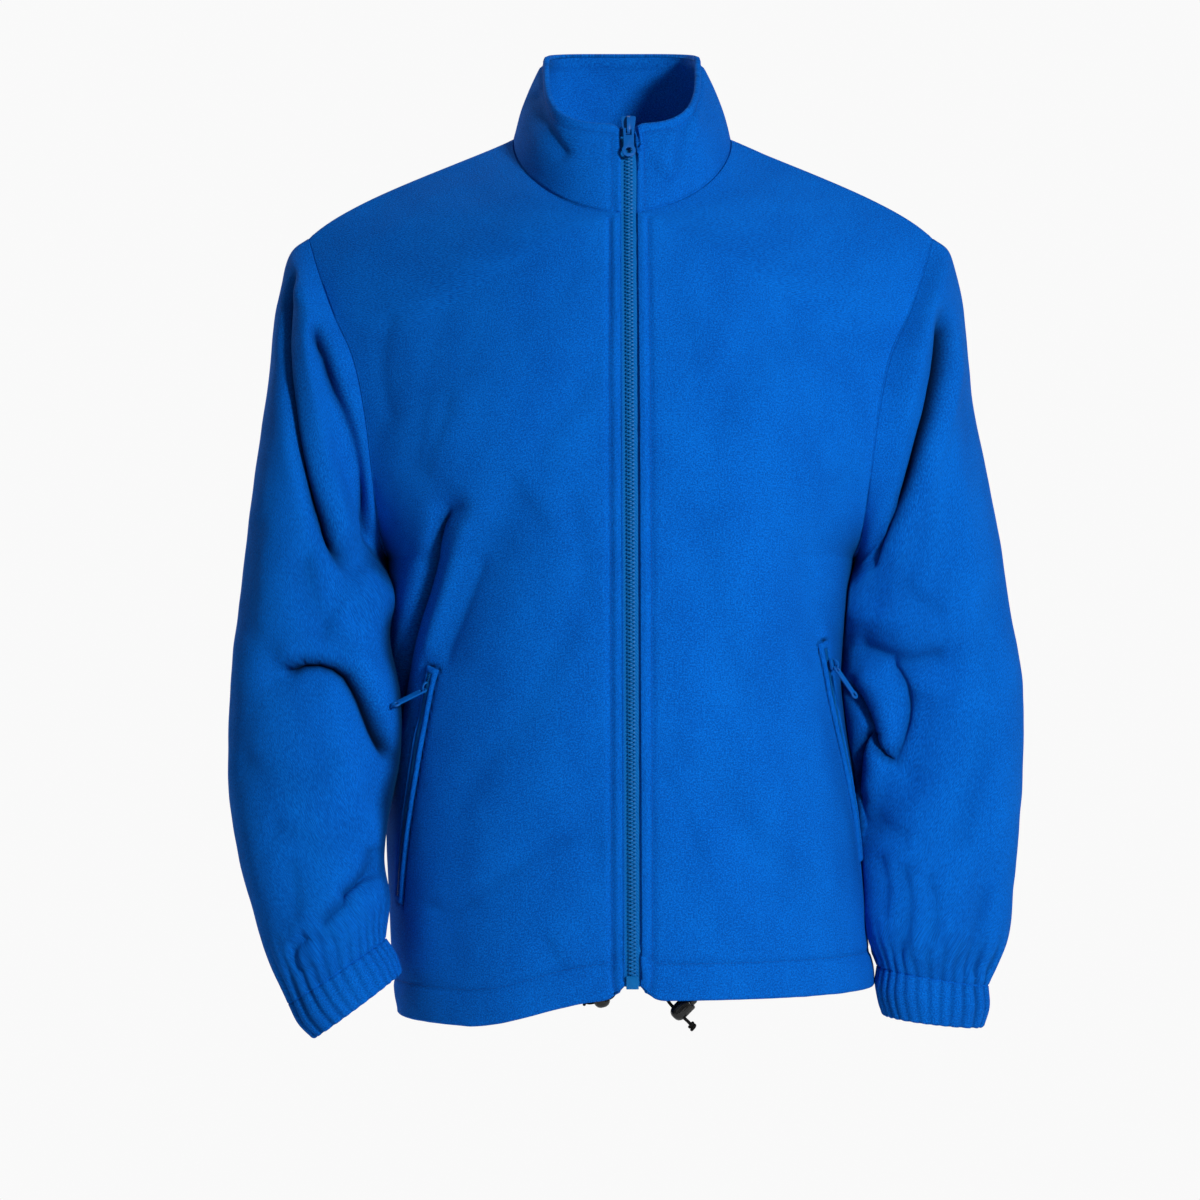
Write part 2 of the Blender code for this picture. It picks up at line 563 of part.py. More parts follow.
def cloth_pieces():
    """The fronts, the two halves of the back, the sleeves, the cuffs and the collar, sewn together."""
    pieces = {}
    for side in (1, -1):
        for face, part in ((-1, "front"), (1, "back")):
            points = half_panel(side, face)
            creases = FRONT_CREASES if face < 0 else BACK_CREASES
            points = press(points, normals(points) * -side * face, creases, face)
            piece = pieces[part, side] = cloth(points, -side * face)
            piece.thick[:HEM_ROWS] = TURNED_UP
        front, back = pieces["front", side].points, pieces["back", side].points
        points = sleeve_points(side, front, back)
        facing = normals(points, True) * side
        behind = [(width, depth, [(side * x, z) for x, z in route]) for width, depth, route in SLEEVE_BACK_CREASES]
        points = press(points, facing, LEFT_SLEEVE_CREASES if side > 0 else RIGHT_SLEEVE_CREASES, -1, True)
        points = press(points, facing, behind, 1, True)
        body = surface(front[: ARMPIT_ROW + 1], back[: ARMPIT_ROW + 1])
        points = clear_of_body(np.concatenate([points, cuff_points(side)[1:]]), body)
        pieces["sleeve", side] = cloth(points[: SLEEVE_ROWS + 1], side, around=True)
        pieces["cuff", side] = cloth(points[SLEEVE_ROWS:], side, CUFF_WALL, around=True)
    fronts, backs = ([pieces[part, side] for side in (1, -1)] for part in ("front", "back"))
    neck = [fronts[0].points[-FRONT_NECK_ROWS - 1 :, 0], backs[0].points[-2 : -BACK_NECK_ROWS - 2 : -1, 0]]
    neck += [backs[1].points[-BACK_NECK_ROWS:, 0], fronts[1].points[-2 : -FRONT_NECK_ROWS - 2 : -1, 0]]
    collar = pieces["collar", 0] = cloth(collar_points(np.vstack(neck)), 1, COLLAR_WALL)

    for side in (1, -1):
        front, back, sleeve, cuff = (pieces[part, side] for part in ("front", "back", "sleeve", "cuff"))
        low, high = np.s_[: ARMPIT_ROW + 1], np.s_[ARMPIT_ROW:]
        sew((front, np.s_[low, -1], np.s_[low, -2]), (back, np.s_[low, -1], np.s_[low, -2]))
        sew((front, np.s_[-1], np.s_[-2]), (back, np.s_[-1], np.s_[-2]))
        sew((sleeve, np.s_[-1], np.s_[-2]), (cuff, np.s_[0], np.s_[1]))
        centre = np.array(ARMHOLE_CENTRE) * (side, 1, 1) + (SHOULDER_MIDDLE, 0, 0)
        down = np.arange(ARMHOLE_ROWS, -1, -1) + ARMPIT_ROW
        first, second = np.arange(ARMHOLE_ROWS + 1), np.arange(-ARMHOLE_ROWS, 1)
        for panel, rows, places in ((front, down, first), (back, down[::-1], second)):
            sew(
                (panel, (rows, -1), (rows, -2)),
                (sleeve, (0, places), (1, places)),
                lambda points: unit(points - centre),
            )
        half_turn = FRONT_NECK_ROWS + BACK_NECK_ROWS
        for panel, count, place in ((front, FRONT_NECK_ROWS, 0), (back, BACK_NECK_ROWS, FRONT_NECK_ROWS)):
            rows = np.arange(count + 1) + TOP_ROW - count
            columns = np.arange(count + 1) + place if panel is front else half_turn - np.arange(count + 1)
            columns = columns if side > 0 else 2 * half_turn - columns
            sew(
                (panel, (rows, 0), (rows, 1)),
                (collar, (0, columns), (1, columns)),
                lambda points: unit(unit((points - (NECK_MIDDLE, 0, 0)) * (1, 1, 0)) + (0, 0, 0.55)),
            )
    for piece, edge in ((collar, (slice(None), 0)), (collar, (slice(None), -1)), *((f, FRONT_EDGE) for f in fronts)):
        piece.facing[edge] = unit(piece.facing[edge] * (0, 1, 1))
        piece.shift[edge] *= (0, 1, 1)
    middle = np.s_[: TOP_ROW - BACK_NECK_ROWS + 1, 0]
    for values in ("points", "facing", "shift"):
        left, right = (getattr(piece, values) for piece in backs)
        left[middle] = right[middle] = (left[middle] + right[middle]) / 2
    return pieces


def strip(name, line, across, depths, look):
    """A strip up the front along a line of points, from depth to depth behind them."""
    out = unit(np.cross((1, 0, 0), np.gradient(line, axis=0)))[:, None]
    edges = line[:, None] + np.outer(across, (1, 0, 0))
    return wall(name, [(edges - out * depths[0], edges - out * depths[1])], look)


def prism(outline, low, high, turn=Matrix()):
    """A bmesh of an outline in x and y, raised from low to high."""
    shape = bmesh.new()
    base, top = ([shape.verts.new(turn @ Vector((x, y, z))) for x, y in outline] for z in (low, high))
    shape.faces.new(base)
    shape.faces.new(top[::-1])
    for i in range(len(outline)):
        k = (i + 1) % len(outline)
        shape.faces.new((base[i], base[k], top[k], top[i]))
    return shape


def arc(centre, radii, start, end, count):
    """Points of an arc of an ellipse, with both ends, angles in degrees."""
    angles = np.radians(np.linspace(start, end, count + 1))
    return np.array(centre) + np.column_stack([np.cos(angles), np.sin(angles)]) * radii


def slider(name, matrix, size, look):
    """A zip slider. Its plate's back lies at z 0, y runs up the zip, and its bail arches over the plate."""
    s = SimpleNamespace(**size)
    half, corner = s.length / 2, 0.0016
    outline = [
        *arc((s.top / 2 - corner, half - corner), corner, 0, 90, 3),
        *arc((corner - s.top / 2, half - corner), corner, 90, 180, 3),
        *arc((corner - s.bottom / 2, corner - half), corner, 180, 270, 3),
        *arc((s.bottom / 2 - corner, corner - half), corner, 270, 360, 3),
    ]
    plate = add(name, prism(outline, 0, s.thick), look, matrix)
    outer, inner = (s.bail / 2, s.rise), (s.bail / 2 - 0.001, s.rise - 0.001)
    arch = [*arc((0, s.thick), outer, 0, 180, 10), *arc((0, s.thick), inner, 180, 0, 10)]
    foot = s.thick - 0.0006
    arch = [(outer[0], foot), *arch[:11], (-outer[0], foot), (-inner[0], foot), *arch[11:], (inner[0], foot)]
    upright = Matrix(((0, 0, 1), (1, 0, 0), (0, 1, 0))).to_4x4()
    added = {"bail": prism(arch, -s.half, s.half, upright)}
    if s.foot:
        stem = [(sx * STEM_HALF_WIDTH, sy * half * 0.8) for sx, sy in ((1, 1), (-1, 1), (-1, -1), (1, -1))]
        added["stem"] = prism(stem, -s.foot, 0.0005)
    for part, shape in added.items():
        helper = add(f"{name}_{part}", shape, look, matrix)
        helper.hide_render = True
        union = plate.modifiers.new(part, "BOOLEAN")
        union.operation, union.solver, union.object = "UNION", "EXACT", helper
    return plate


def pull(name, matrix, size, look):
    """A zip pull, flat in x and y, with the middle of its bar at the origin and its ring below."""
    s = SimpleNamespace(**size)
    ring, strap = s.ring / 2, s.strap / 2
    bar, middle = strap - 0.0007, ring - s.length
    shoulder = math.degrees(math.acos(strap / ring))
    outline = [(-bar, BAR_HALF), (bar, BAR_HALF), (strap, -BAR_HALF), *arc((0, middle), ring, shoulder, -180 - shoulder, 16)]
    outline.append((-strap, -BAR_HALF))
    half_window, reach = s.window[0] / 2, s.window[1]
    window = [(-half_window, -BAR_HALF), (half_window, -BAR_HALF), (half_window, -reach), (-half_window, -reach)]
    hole = arc((0, middle), s.hole / 2, 0, 330, 11)
    curve = bpy.data.curves.new(name, "CURVE")
    curve.dimensions, curve.fill_mode, curve.extrude = "2D", "BOTH", s.thick / 2
    for points in (outline, window, hole):
        spline = curve.splines.new("POLY")
        spline.points.add(len(points) - 1)
        spline.points.foreach_set("co", [value for x, y in points for value in (x, y, 0, 1)])
        spline.use_cyclic_u = True
    curve.materials.append(look)
    thing = bpy.data.objects.new(name, curve)
    bpy.context.scene.collection.objects.link(thing)
    thing.matrix_world = matrix
    return thing


def slider_and_pull(place, frame, slider_size, pull_size, raised, look):
    """A slider on its frame, and its pull, raised by some degrees about its bar."""
    slider(f"{place}_slider", frame, slider_size, look)
    height = slider_size["thick"] + BAR_GAP + pull_size["thick"] / 2
    bar = Matrix.Translation((0, -slider_size["bar"], height)) @ Matrix.Rotation(math.radians(-raised), 4, "X")
    pull(f"{place}_pull", frame @ bar, pull_size, look)


def frame_at(origin, up, out):
    """A frame whose y runs up and whose z points out."""
    out = unit(out)
    up = unit(up - out * (up @ out))
    side = np.cross(up, out)
    return Matrix(np.vstack([np.column_stack([side, up, out, origin]), (0, 0, 0, 1)]).tolist())


def front_zip(pieces, look):
    """The tapes, the chain, the box at the hem, the slider at the collar's upper edge and its pull."""
    edges = [pieces["front", side].points[FRONT_EDGE] for side in (1, -1)]
    collar = pieces["collar", 0].points
    line = np.vstack([sum(edges) / 2, (collar[1:, 0] + collar[1:, -1]) / 2])
    whole = evenly(line, ZIP_ROWS)
    for side in (1, -1):
        strip(f"zip_tape_{WORDS[side]}", whole, side * np.array(TAPE_ACROSS[::side]), TAPE_DEPTHS, look)
    chain = evenly(line, ZIP_ROWS, BOX_LENGTH + SEAM_GAP, CHAIN_FROM_TOP)
    strip("zip_chain", chain, (-CHAIN_HALF_WIDTH, CHAIN_HALF_WIDTH), CHAIN_DEPTHS, look)
    box = evenly(line, 2, 0, along(whole)[-1] - BOX_LENGTH)
    strip("zip_box", box, (-BOX_HALF_WIDTH, BOX_HALF_WIDTH), BOX_DEPTHS, look)
    below, origin = whole[-2], evenly(line, ZIP_ROWS, 0, SLIDER_FROM_TOP)[-1]
    up = unit(whole[-1] - below)
    out = np.cross((1, 0, 0), up)
    frame = frame_at(origin + out * SLIDER_LIFT, up, out)
    slider_and_pull("zip", frame, FRONT_SLIDER, FRONT_PULL, 0, look)


def on_grid(values, row, column):
    """A value between the four nearest of a grid."""
    j, i = min(int(row), len(values) - 2), min(int(column), values.shape[1] - 2)
    f, g = row - j, column - i
    low, high = values[j, i] * (1 - g) + values[j, i + 1] * g, values[j + 1, i] * (1 - g) + values[j + 1, i + 1] * g
    return low * (1 - f) + high * f


def pocket(side, front, fleece, teal):
    """The welts of a pocket, one ring round its opening, and the zip in it with its slider and pull."""
    name, opening = f"pocket_{WORDS[side]}", SimpleNamespace(**POCKETS[side])
    casing = np.linspace(HEM_Z, HEM_Z + HEM_CASING, HEM_ROWS + 1)
    heights = np.concatenate([casing[:-1], np.linspace(casing[-1], ARMPIT_Z, SIDE_ROWS + 1)])
    shares = np.linspace(0, 1, WELT_ROWS + 1)
    z = opening.top[0] + (opening.bottom[0] - opening.top[0]) * shares
    t = opening.top[1] + (opening.bottom[1] - opening.top[1]) * shares
    places = np.column_stack([np.interp(z, heights, range(len(heights))), t * PANEL_COLUMNS])
    outer = front.points + front.shift
    line = np.array([on_grid(outer, *place) for place in places])
    out = unit([on_grid(front.facing, *place) for place in places])
    length = along(line)[-1]
    tree = surface(outer)

    def laid(share, across, lift):
        """A point of the front beside the opening's middle line, moved out."""
        middle, facing, ahead = (
            np.array([np.interp(share, shares, column) for column in values.T])
            for values in (line, out, np.gradient(line, axis=0))
        )
        facing = unit(facing)
        start = middle + unit(np.cross(facing, ahead)) * across
        spot = tree.ray_cast((start + facing * 0.03).tolist(), (-facing).tolist())[0]
        return np.array(spot) + facing * lift

    def ring(half_width, end, lift):
        ends = np.linspace(end / length, 1 - end / length, WELT_ROWS + 1)
        return [laid(s, half_width, lift) for s in ends] + [laid(s, -half_width, lift) for s in ends[::-1]]

    faces = [
        np.array([ring(WELT_HALF_WIDTH, 0, lift), ring(SLOT_HALF_WIDTH, WELT_END, lift)])
        for lift in (WELT_LIFT + WELT_THICK, WELT_LIFT)
    ]
    wall(f"{name}_welt", [faces], fleece, around=True)
    ends = np.linspace(POCKET_ZIP_END / length, 1 - POCKET_ZIP_END / length, WELT_ROWS + 1)
    faces = [
        np.array([[laid(s, -POCKET_ZIP_HALF_WIDTH, lift), laid(s, POCKET_ZIP_HALF_WIDTH, lift)] for s in ends])
        for lift in (WELT_LIFT + POCKET_ZIP_THICK, WELT_LIFT)
    ]
    wall(f"{name}_zip", [faces], teal)
    step = 0.004 / length
    origin, above, below = (laid(opening.slider + shift, 0, POCKET_SLIDER_LIFT) for shift in (0, -step, step))
    facing = unit([np.interp(opening.slider, shares, column) for column in out.T])
    slider_and_pull(name, frame_at(origin, above - below, facing), POCKET_SLIDER, POCKET_PULL, opening.raised, teal)


def lathe(name, profile, look, matrix, segments=20):
    """A solid turned from a profile that starts and ends on the axis."""
    shape, rings = bmesh.new(), []
    for radius, height in np.array(profile) / 1000:
        angles = np.linspace(0, 2 * math.pi, segments if radius else 1, endpoint=False)
        rings.append([shape.verts.new((radius * math.cos(a), radius * math.sin(a), height)) for a in angles])
    for low, high in zip(rings[:-1], rings[1:]):
        for i in range(segments):
            k = (i + 1) % segments
            corners = [low[i % len(low)], low[k % len(low)], high[k % len(high)], high[i % len(high)]]
            shape.faces.new(list(dict.fromkeys(corners)))
    return add(name, shape, look, matrix)


def cord_lock(side, black):
    """A barrel that grips the drawcord, its sprung button, and the cord through it with a knot at its end."""
    word, lock = WORDS[side], SimpleNamespace(**CORD_LOCKS[side])
    middle, button = np.array(lock.middle), unit(lock.button)
    frame = frame_at(middle, np.cross(button, (0, 1, 0)), button)
    barrel = lathe(f"cord_lock_{word}", BARREL, black, frame)
    lathe(f"cord_lock_{word}_button", BUTTON, black, frame)
    cutter = lathe("cutter", ((0, -9), (CORD_HOLE_RADIUS * 1000, -9), (CORD_HOLE_RADIUS * 1000, 9), (0, 9)), black, None, 12)
    cutter.matrix_world = frame @ Matrix.Translation((0, 0, CORD_PLACE)) @ Matrix.Rotation(math.pi / 2, 4, "X")
    cutter.hide_render = True
    cut = barrel.modifiers.new("cord hole", "BOOLEAN")
    cut.operation, cut.solver, cut.object = "DIFFERENCE", "EXACT", cutter

    route = evenly(lock.cord, CORD_STEPS)
    curve = bpy.data.curves.new(f"drawcord_{word}", "CURVE")
    curve.dimensions, curve.bevel_depth, curve.bevel_resolution, curve.use_fill_caps = "3D", CORD_RADIUS, 2, True
    spline = curve.splines.new("POLY")
    spline.points.add(len(route) - 1)
    for number, (spot, point) in enumerate(zip(spline.points, route)):
        spot.co = (*point, 1)
        spot.radius = KNOT_SHARE if number in (len(route) - 3, len(route) - 2) else 1
    curve.materials.append(black)
    cord = bpy.data.objects.new(f"drawcord_{word}", curve)
    bpy.context.scene.collection.objects.link(cord)


def main():
    for thing in list(bpy.data.objects):
        bpy.data.objects.remove(thing)
    fleece, teal = material("fleece", FLEECE_BLUE, 0.95), material("zip", ZIP_TEAL, 0.5)
    black = material("plastic", BLACK, 0.35)
    pieces = cloth_pieces()
    sheets = {}
    for (part, side), piece in pieces.items():
        name = part if part in ("back", "collar") else f"{part}_{WORDS[side]}"
        outer = piece.points + piece.shift
        sheets.setdefault(name, []).append((outer, outer - piece.facing * piece.thick[..., None]))
    for name, faces in sheets.items():
        wall(name, faces, fleece, around=name.startswith(("sleeve", "cuff")))
    front_zip(pieces, teal)
    for side in (1, -1):
        pocket(side, pieces["front", side], fleece, teal)
        cord_lock(side, black)


main()
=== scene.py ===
"""A blue fleece winter jacket with a stand collar and a full front zip, filled out as when it is worn.

Metres, +Z up. The front faces -Y and the wearer's left is at +X.
"""

import math
from types import SimpleNamespace

import bmesh
import bpy
import numpy as np
from mathutils import Matrix, Vector, noise
from mathutils.bvhtree import BVHTree


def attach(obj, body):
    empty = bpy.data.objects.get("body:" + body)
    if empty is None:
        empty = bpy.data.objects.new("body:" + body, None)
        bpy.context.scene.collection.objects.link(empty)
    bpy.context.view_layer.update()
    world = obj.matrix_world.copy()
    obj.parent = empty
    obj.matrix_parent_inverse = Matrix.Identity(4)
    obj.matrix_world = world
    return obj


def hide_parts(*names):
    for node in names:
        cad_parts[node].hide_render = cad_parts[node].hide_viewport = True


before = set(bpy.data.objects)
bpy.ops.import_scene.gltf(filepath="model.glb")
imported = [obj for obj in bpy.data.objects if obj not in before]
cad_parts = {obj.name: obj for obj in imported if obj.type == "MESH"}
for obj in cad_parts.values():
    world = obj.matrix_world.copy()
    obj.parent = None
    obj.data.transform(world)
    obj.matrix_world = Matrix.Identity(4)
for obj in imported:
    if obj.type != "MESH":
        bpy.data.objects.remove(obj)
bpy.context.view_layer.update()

# ---------------------------------------------------------------------------------------------------------
# Fronts. Two panels of brushed polyester fleece, 2.5 mm thick, cut to the neck, shoulder, armhole and side.
# The hem is turned up 29 mm as a casing for the drawcord, and each front edge is turned in beside the zip
# and stitched down.

FLEECE, TURNED_UP = 0.0025, 0.0045
HEM_Z, HEM_CASING, ARMPIT_Z = -0.675, 0.029, -0.335
# The hem falls lower at the wearer's right: how much, from where and over how much width, and height.
HEM_FALL, FALL_X, FALL_WIDTH, FALL_Z, FALL_HEIGHT = 0.023, -0.005, 0.115, -0.42, 0.24
CASING_ROWS, SIDE_ROWS, ARMHOLE_ROWS, COLUMNS = 12, 96, 104, 108
FRONT_NECK_ROWS, BACK_NECK_ROWS = 44, 30
ARMPIT_ROW = CASING_ROWS + SIDE_ROWS
ZIP_HALF_GAP = 0.0056
NECK_MIDDLE, SHOULDER_MIDDLE = 0.004, 0.003
HEM_CORNER = (0.012, 0.014)  # how far from the zip, and how much, the front corners of the hem rise
ZIP_STITCH = 0.0100  # from the front edge to its row of stitches
SEAM_ROOM, SEAM_LIP, HEM_LIP, BAND_LIP = 0.00015, 0.0007, 0.0020, 0.0022
ALLOWANCE, SEAM_DEPTH = 0.0060, 0.0005  # a seam's turned-in edges: their reach either way, and their depth


def metres(*rows):
    """A table in metres, from rows in millimetres."""
    return np.array(rows) / 1000


def routed(*rows):
    """Creases in metres, from rows in millimetres: half width, depth, then the route's x and z by turns."""
    return [(row[0] / 1000, row[1] / 1000, np.reshape(row[2:], (-1, 2)) / 1000) for row in rows]


# Level sections of the body: height, x of the side at the wearer's left and right, depth of front and back.
SECTIONS = metres(
    (-675, 206, -175, 128, 112), (-630, 199, -180, 132, 112), (-580, 195, -183, 136, 110),
    (-540, 192, -184.5, 139, 108), (-500, 187, -185, 142, 107), (-460, 181.5, -186, 144, 108),
    (-430, 178.5, -187, 145, 110), (-400, 180, -187, 145, 112), (-360, 185.5, -185.5, 145, 117),
    (-335, 189, -183, 144.5, 120),
)
SECTION_HANDLES = (0.55, 0.60)
# The middle of the front above the armpits: height, y. The armhole from shoulder to armpit: x, y, z.
FRONT_MIDDLE = metres(
    (-335, -144.5), (-280, -143), (-230, -137), (-180, -128), (-140, -118), (-100, -105), (-68, -92),
)
FRONT_ARMHOLE = metres(
    (249.5, -3, -79), (238, -30, -113), (225.5, -50, -144.9), (211, -66, -175.8), (200, -78, -222.7),
    (195, -78, -262), (191, -55, -303), (188, -25, -328), (186, 0, -335),
)
# How a row above the armpits bends: its place from armpit to shoulder, then for its inner and its outer end
# the length of the handle as a share of the row's width, and the handle's y and z.
FRONT_BENDS = (
    (0.00, 0.55, 0.000, 0.000, 0.000, -0.0867, 0.000),
    (0.25, 0.54, -0.004, -0.007, -0.145, -0.054, 0.020),
    (0.50, 0.37, -0.0065, -0.019, -0.250, -0.029, 0.029),
    (0.58, 0.34, -0.010, -0.022, -0.255, -0.024, 0.034),
    (0.75, 0.28, -0.008, -0.0225, -0.264, -0.017, 0.028),
    (1.00, 0.33, 0.000, -0.024, -0.180, 0.001, 0.030),
)
# The neck seam: half width, front and back depth, height at the side, climb of the front and of the back.
NECK_SEAM = (0.0870, 0.092, 0.075, 0.000, 0.740, 0.240)
NECK_FULLNESS = 1.85

# The mesh draws in by this share beside a fold, over this many half widths. A fold so deep takes the full
# painted shade in its trough, and from half as deep it draws the mesh in.
FOLD_DRAW, DRAW_REACH, FOLD_DEEP = 0.55, 2.6, 0.0080
# How far from an edge the folds, and the unevenness, have their full depth. Waves: their depth and length.
FOLD_FADE, WAVE_FADE, CLOTH_WAVES = 0.022, 0.012, ((0.0011, 0.055), (0.0005, 0.022))
PUCKER_DEPTH, PUCKER_SIZE = 0.00045, 0.010  # what the stitches beside the zip and above the hem pull up
# A row of stitches sinks the cloth: the half width, the depth, and how dark the painted shade is along it.
STITCH_WIDTH, STITCH_DEPTH, STITCH_SHADE = 0.0023, 0.0017, 0.14
SHADE_WIDTH = 0.0016  # half the width of the painted shade along a row of stitches or a welt
# How dark the painted shade is at the flanks, between body and sleeve, and how far from the side seam.
FLANK_SHADE, FLANK_WIDTH = {1: 0.70, -1: 0.85}, 0.050

# The creases of a piece's first table are broad. The narrow folds of its second have a roll at each side,
# and die out. The routes are seen from the front.
FRONT_CREASES = routed(
    (12, 7, -130, -300, -140, -335, -150, -368, -162, -410, -168, -455),
    (18, 4.5, -85, -300, -104, -350, -132, -405),
    (17, 5, 172, -285, 152, -350, 150, -400),
    (20, 4, -25, -560, -80, -590, -130, -625),
    (20, 4, 70, -470, 95, -550, 125, -600),
)
FRONT_FOLDS = routed(
    (4.6, 10.8, -128, -292, -134, -312, -141, -338, -148, -362, -156, -386, -163, -410, -170, -444, -175,
     -478),
    (5.7, 1.9, -100, -330, -115, -370, -128, -402, -137, -425),
    (12.1, 1.3, -28, -372, -60, -437, -98, -491, -140, -550),
    (6.8, 2.2, -24, -548, -56, -560, -90, -582, -136, -609, -163, -600),
    (7.4, 1.2, -58, -622, -50, -640, -40, -656),
    (8.1, 1.2, -176, -140, -183, -192, -172, -236),
    (8.8, 1.3, -146, -200, -153, -240, -160, -276),
    (7.4, 1.1, -127, -205, -140, -245, -152, -278),
    (10.8, 1, -2, -160, -25, -203, -52, -238, -62, -282),
    (8.1, 1.1, -84, -272, -68, -296, -52, -322),
    (8.1, 0.9, -37, -280, -26, -337, -25, -376),
    (16.2, 1.2, 158, -142, 94, -203, 62, -262),
    (16.2, 1.6, 58, -292, 80, -399, 112, -480),
    (14.9, -1.7, 83, -262, 100, -337, 120, -399, 142, -450),
    (10.8, 0.9, 26, -387, 42, -358, 60, -330),
    (8.1, 1.4, 24, -490, 46, -518, 64, -576),
    (13.5, 1.7, 30, -464, 78, -521, 132, -575, 162, -600),
    (8.8, 1.4, 128, -330, 156, -364, 168, -404),
    (12.1, -1.6, 138, -392, 150, -450, 168, -536),
    (12.1, 1.2, 100, -594, 140, -606, 176, -628),
    (9.5, 0.9, 26, -108, 50, -150, 58, -196),
    (10.1, 0.9, -24, -102, -50, -140, -88, -160),
)


def unit(vectors):
    vectors = np.asarray(vectors, float)
    return vectors / np.linalg.norm(vectors, axis=-1, keepdims=True)


def ease(share):
    share = np.clip(share, 0, 1)
    return share**2 * (3 - 2 * share)


def smooth(table, at):
    """Values at the places `at`, on a smooth curve through a table whose first column is the place."""
    table = np.asarray(table, float)
    place, values = table[:, 0], table[:, 1:]
    slopes = np.gradient(values, place, axis=0)
    low = np.clip(np.searchsorted(place, at, "right") - 1, 0, len(place) - 2)
    step = (place[low + 1] - place[low])[:, None]
    f = (at - place[low])[:, None] / step
    return (
        (1 + 2 * f) * (1 - f) ** 2 * values[low]
        + f**2 * (3 - 2 * f) * values[low + 1]
        + f * (1 - f) ** 2 * step * slopes[low]
        - f**2 * (1 - f) * step * slopes[low + 1]
    )


def along(points):
    """How far along a run of points each one lies."""
    return np.concatenate([[0], np.cumsum(np.linalg.norm(np.diff(points, axis=0), axis=1))])


def between(values, places, at):
    """Values at the places `at`, on straight lines between those of a run."""
    return np.array([np.interp(at, places, column) for column in values.T]).T


def evenly(points, count):
    """count + 1 even points on the smooth curve through these points."""
    points = np.asarray(points, float)
    place = along(points)
    dense = smooth(np.column_stack([place, points]), np.linspace(0, place[-1], 30 * count + 1))
    length = along(dense)
    return between(dense, length, np.linspace(0, length[-1], count + 1))


def zip_x(z):
    """The zip hangs a little towards the wearer's left."""
    return 0.0085 - 0.004 * z


def settle(points):
    """Lets the hem down at the wearer's right, and rounds the front corners of the hem up to the zip."""
    x, y, z = np.moveaxis(points, -1, 0)
    width, rise = HEM_CORNER
    low = np.clip((HEM_Z + HEM_CASING - z) / HEM_CASING, 0, 1)
    corner = rise * np.exp(-(((x - zip_x(z)) / width) ** 2)) * low
    fall = HEM_FALL * ease((FALL_X - x) / FALL_WIDTH) * np.clip((FALL_Z - z) / FALL_HEIGHT, 0, 1) ** 2
    return np.stack([x, y, z + np.where(y < 0, corner, 0) - fall], axis=-1)


def neck_ring(shape, angle, fullness=NECK_FULLNESS):
    """Points of a neck ring. At angle 0 is the middle front, at a half turn the middle back."""
    half_width, front, back, side_z, front_climb, back_climb = shape
    sine, cosine = np.sin(angle), np.cos(angle)
    reach = (np.abs(sine) ** fullness + np.abs(cosine) ** fullness) ** (-1 / fullness)
    y = -cosine * reach * np.where(cosine > 0, front, back)
    z = side_z + y * np.where(y < 0, front_climb, back_climb)
    return np.column_stack([NECK_MIDDLE + half_width * sine * reach, y, z])


PANEL_HEIGHTS = np.concatenate([
    np.linspace(HEM_Z, HEM_Z + HEM_CASING, CASING_ROWS + 1)[:-1],
    np.linspace(HEM_Z + HEM_CASING, ARMPIT_Z, SIDE_ROWS + 1),
])


def closer_at_ends(shares, more):
    """Even shares moved closer together at both ends."""
    return (1 - more) * shares + more * (0.5 - 0.5 * np.cos(math.pi * shares))


SHARES = closer_at_ends(np.linspace(0, 1, COLUMNS + 1), 0.6)


def half_panel(side, face, middle, neck_rows, armhole, bends):
    """Points of one half of the front or back. Columns run from its middle edge, rows from the hem."""
    z = PANEL_HEIGHTS
    section, none = smooth(SECTIONS, z), np.zeros_like(z)
    side_x, y = section[:, 0 if side > 0 else 1], face * section[:, 2 if face < 0 else 3]
    middle_x = zip_x(z) + (side * ZIP_HALF_GAP if face < 0 else 0)
    inner, outer = np.column_stack([middle_x, y, z]), np.column_stack([side_x, none, z])
    inner_handle = inner + np.column_stack([SECTION_HANDLES[0] * (side_x - middle_x), none, none])
    outer_handle = outer + np.column_stack([none, SECTION_HANDLES[1] * y, none])
    lower = np.stack([inner, inner_handle, outer_handle, outer], axis=1)

    z = np.linspace(ARMPIT_Z, middle[-1][0], ARMHOLE_ROWS - neck_rows + 1)
    if face < 0:
        x = zip_x(z) + side * ZIP_HALF_GAP
        start = math.asin((x[-1] - NECK_MIDDLE) / NECK_SEAM[0])
    else:
        x = NECK_MIDDLE + (zip_x(ARMPIT_Z) - NECK_MIDDLE) * np.linspace(1, 0, len(z))
        start = side * math.pi
    up_middle = np.column_stack([x, smooth(middle, z)[:, 0], z])
    seam = neck_ring(NECK_SEAM, np.linspace(start, side * math.pi / 2, 12))
    seam[0] = up_middle[-1]
    inner = np.vstack([up_middle[:-1], evenly(seam, neck_rows)])
    armhole = np.array(armhole[::-1])
    armhole[:, 0] = SHOULDER_MIDDLE + side * armhole[:, 0]
    outer = evenly(armhole, ARMHOLE_ROWS)
    bend, width = smooth(bends, np.linspace(0, 1, ARMHOLE_ROWS + 1)), (outer - inner)[:, :1]
    inner_handle = inner + np.column_stack([bend[:, :1] * width, bend[:, 1:3]])
    outer_handle = outer + np.column_stack([bend[:, 3:4] * width, bend[:, 4:6]])
    upper = np.stack([inner, inner_handle, outer_handle, outer], axis=1)

    t = SHARES[:, None]
    share = np.hstack([(1 - t) ** 3, 3 * t * (1 - t) ** 2, 3 * t**2 * (1 - t), t**3])
    return settle(np.einsum("tc,rcx->rtx", share, np.concatenate([lower, upper[1:]])))


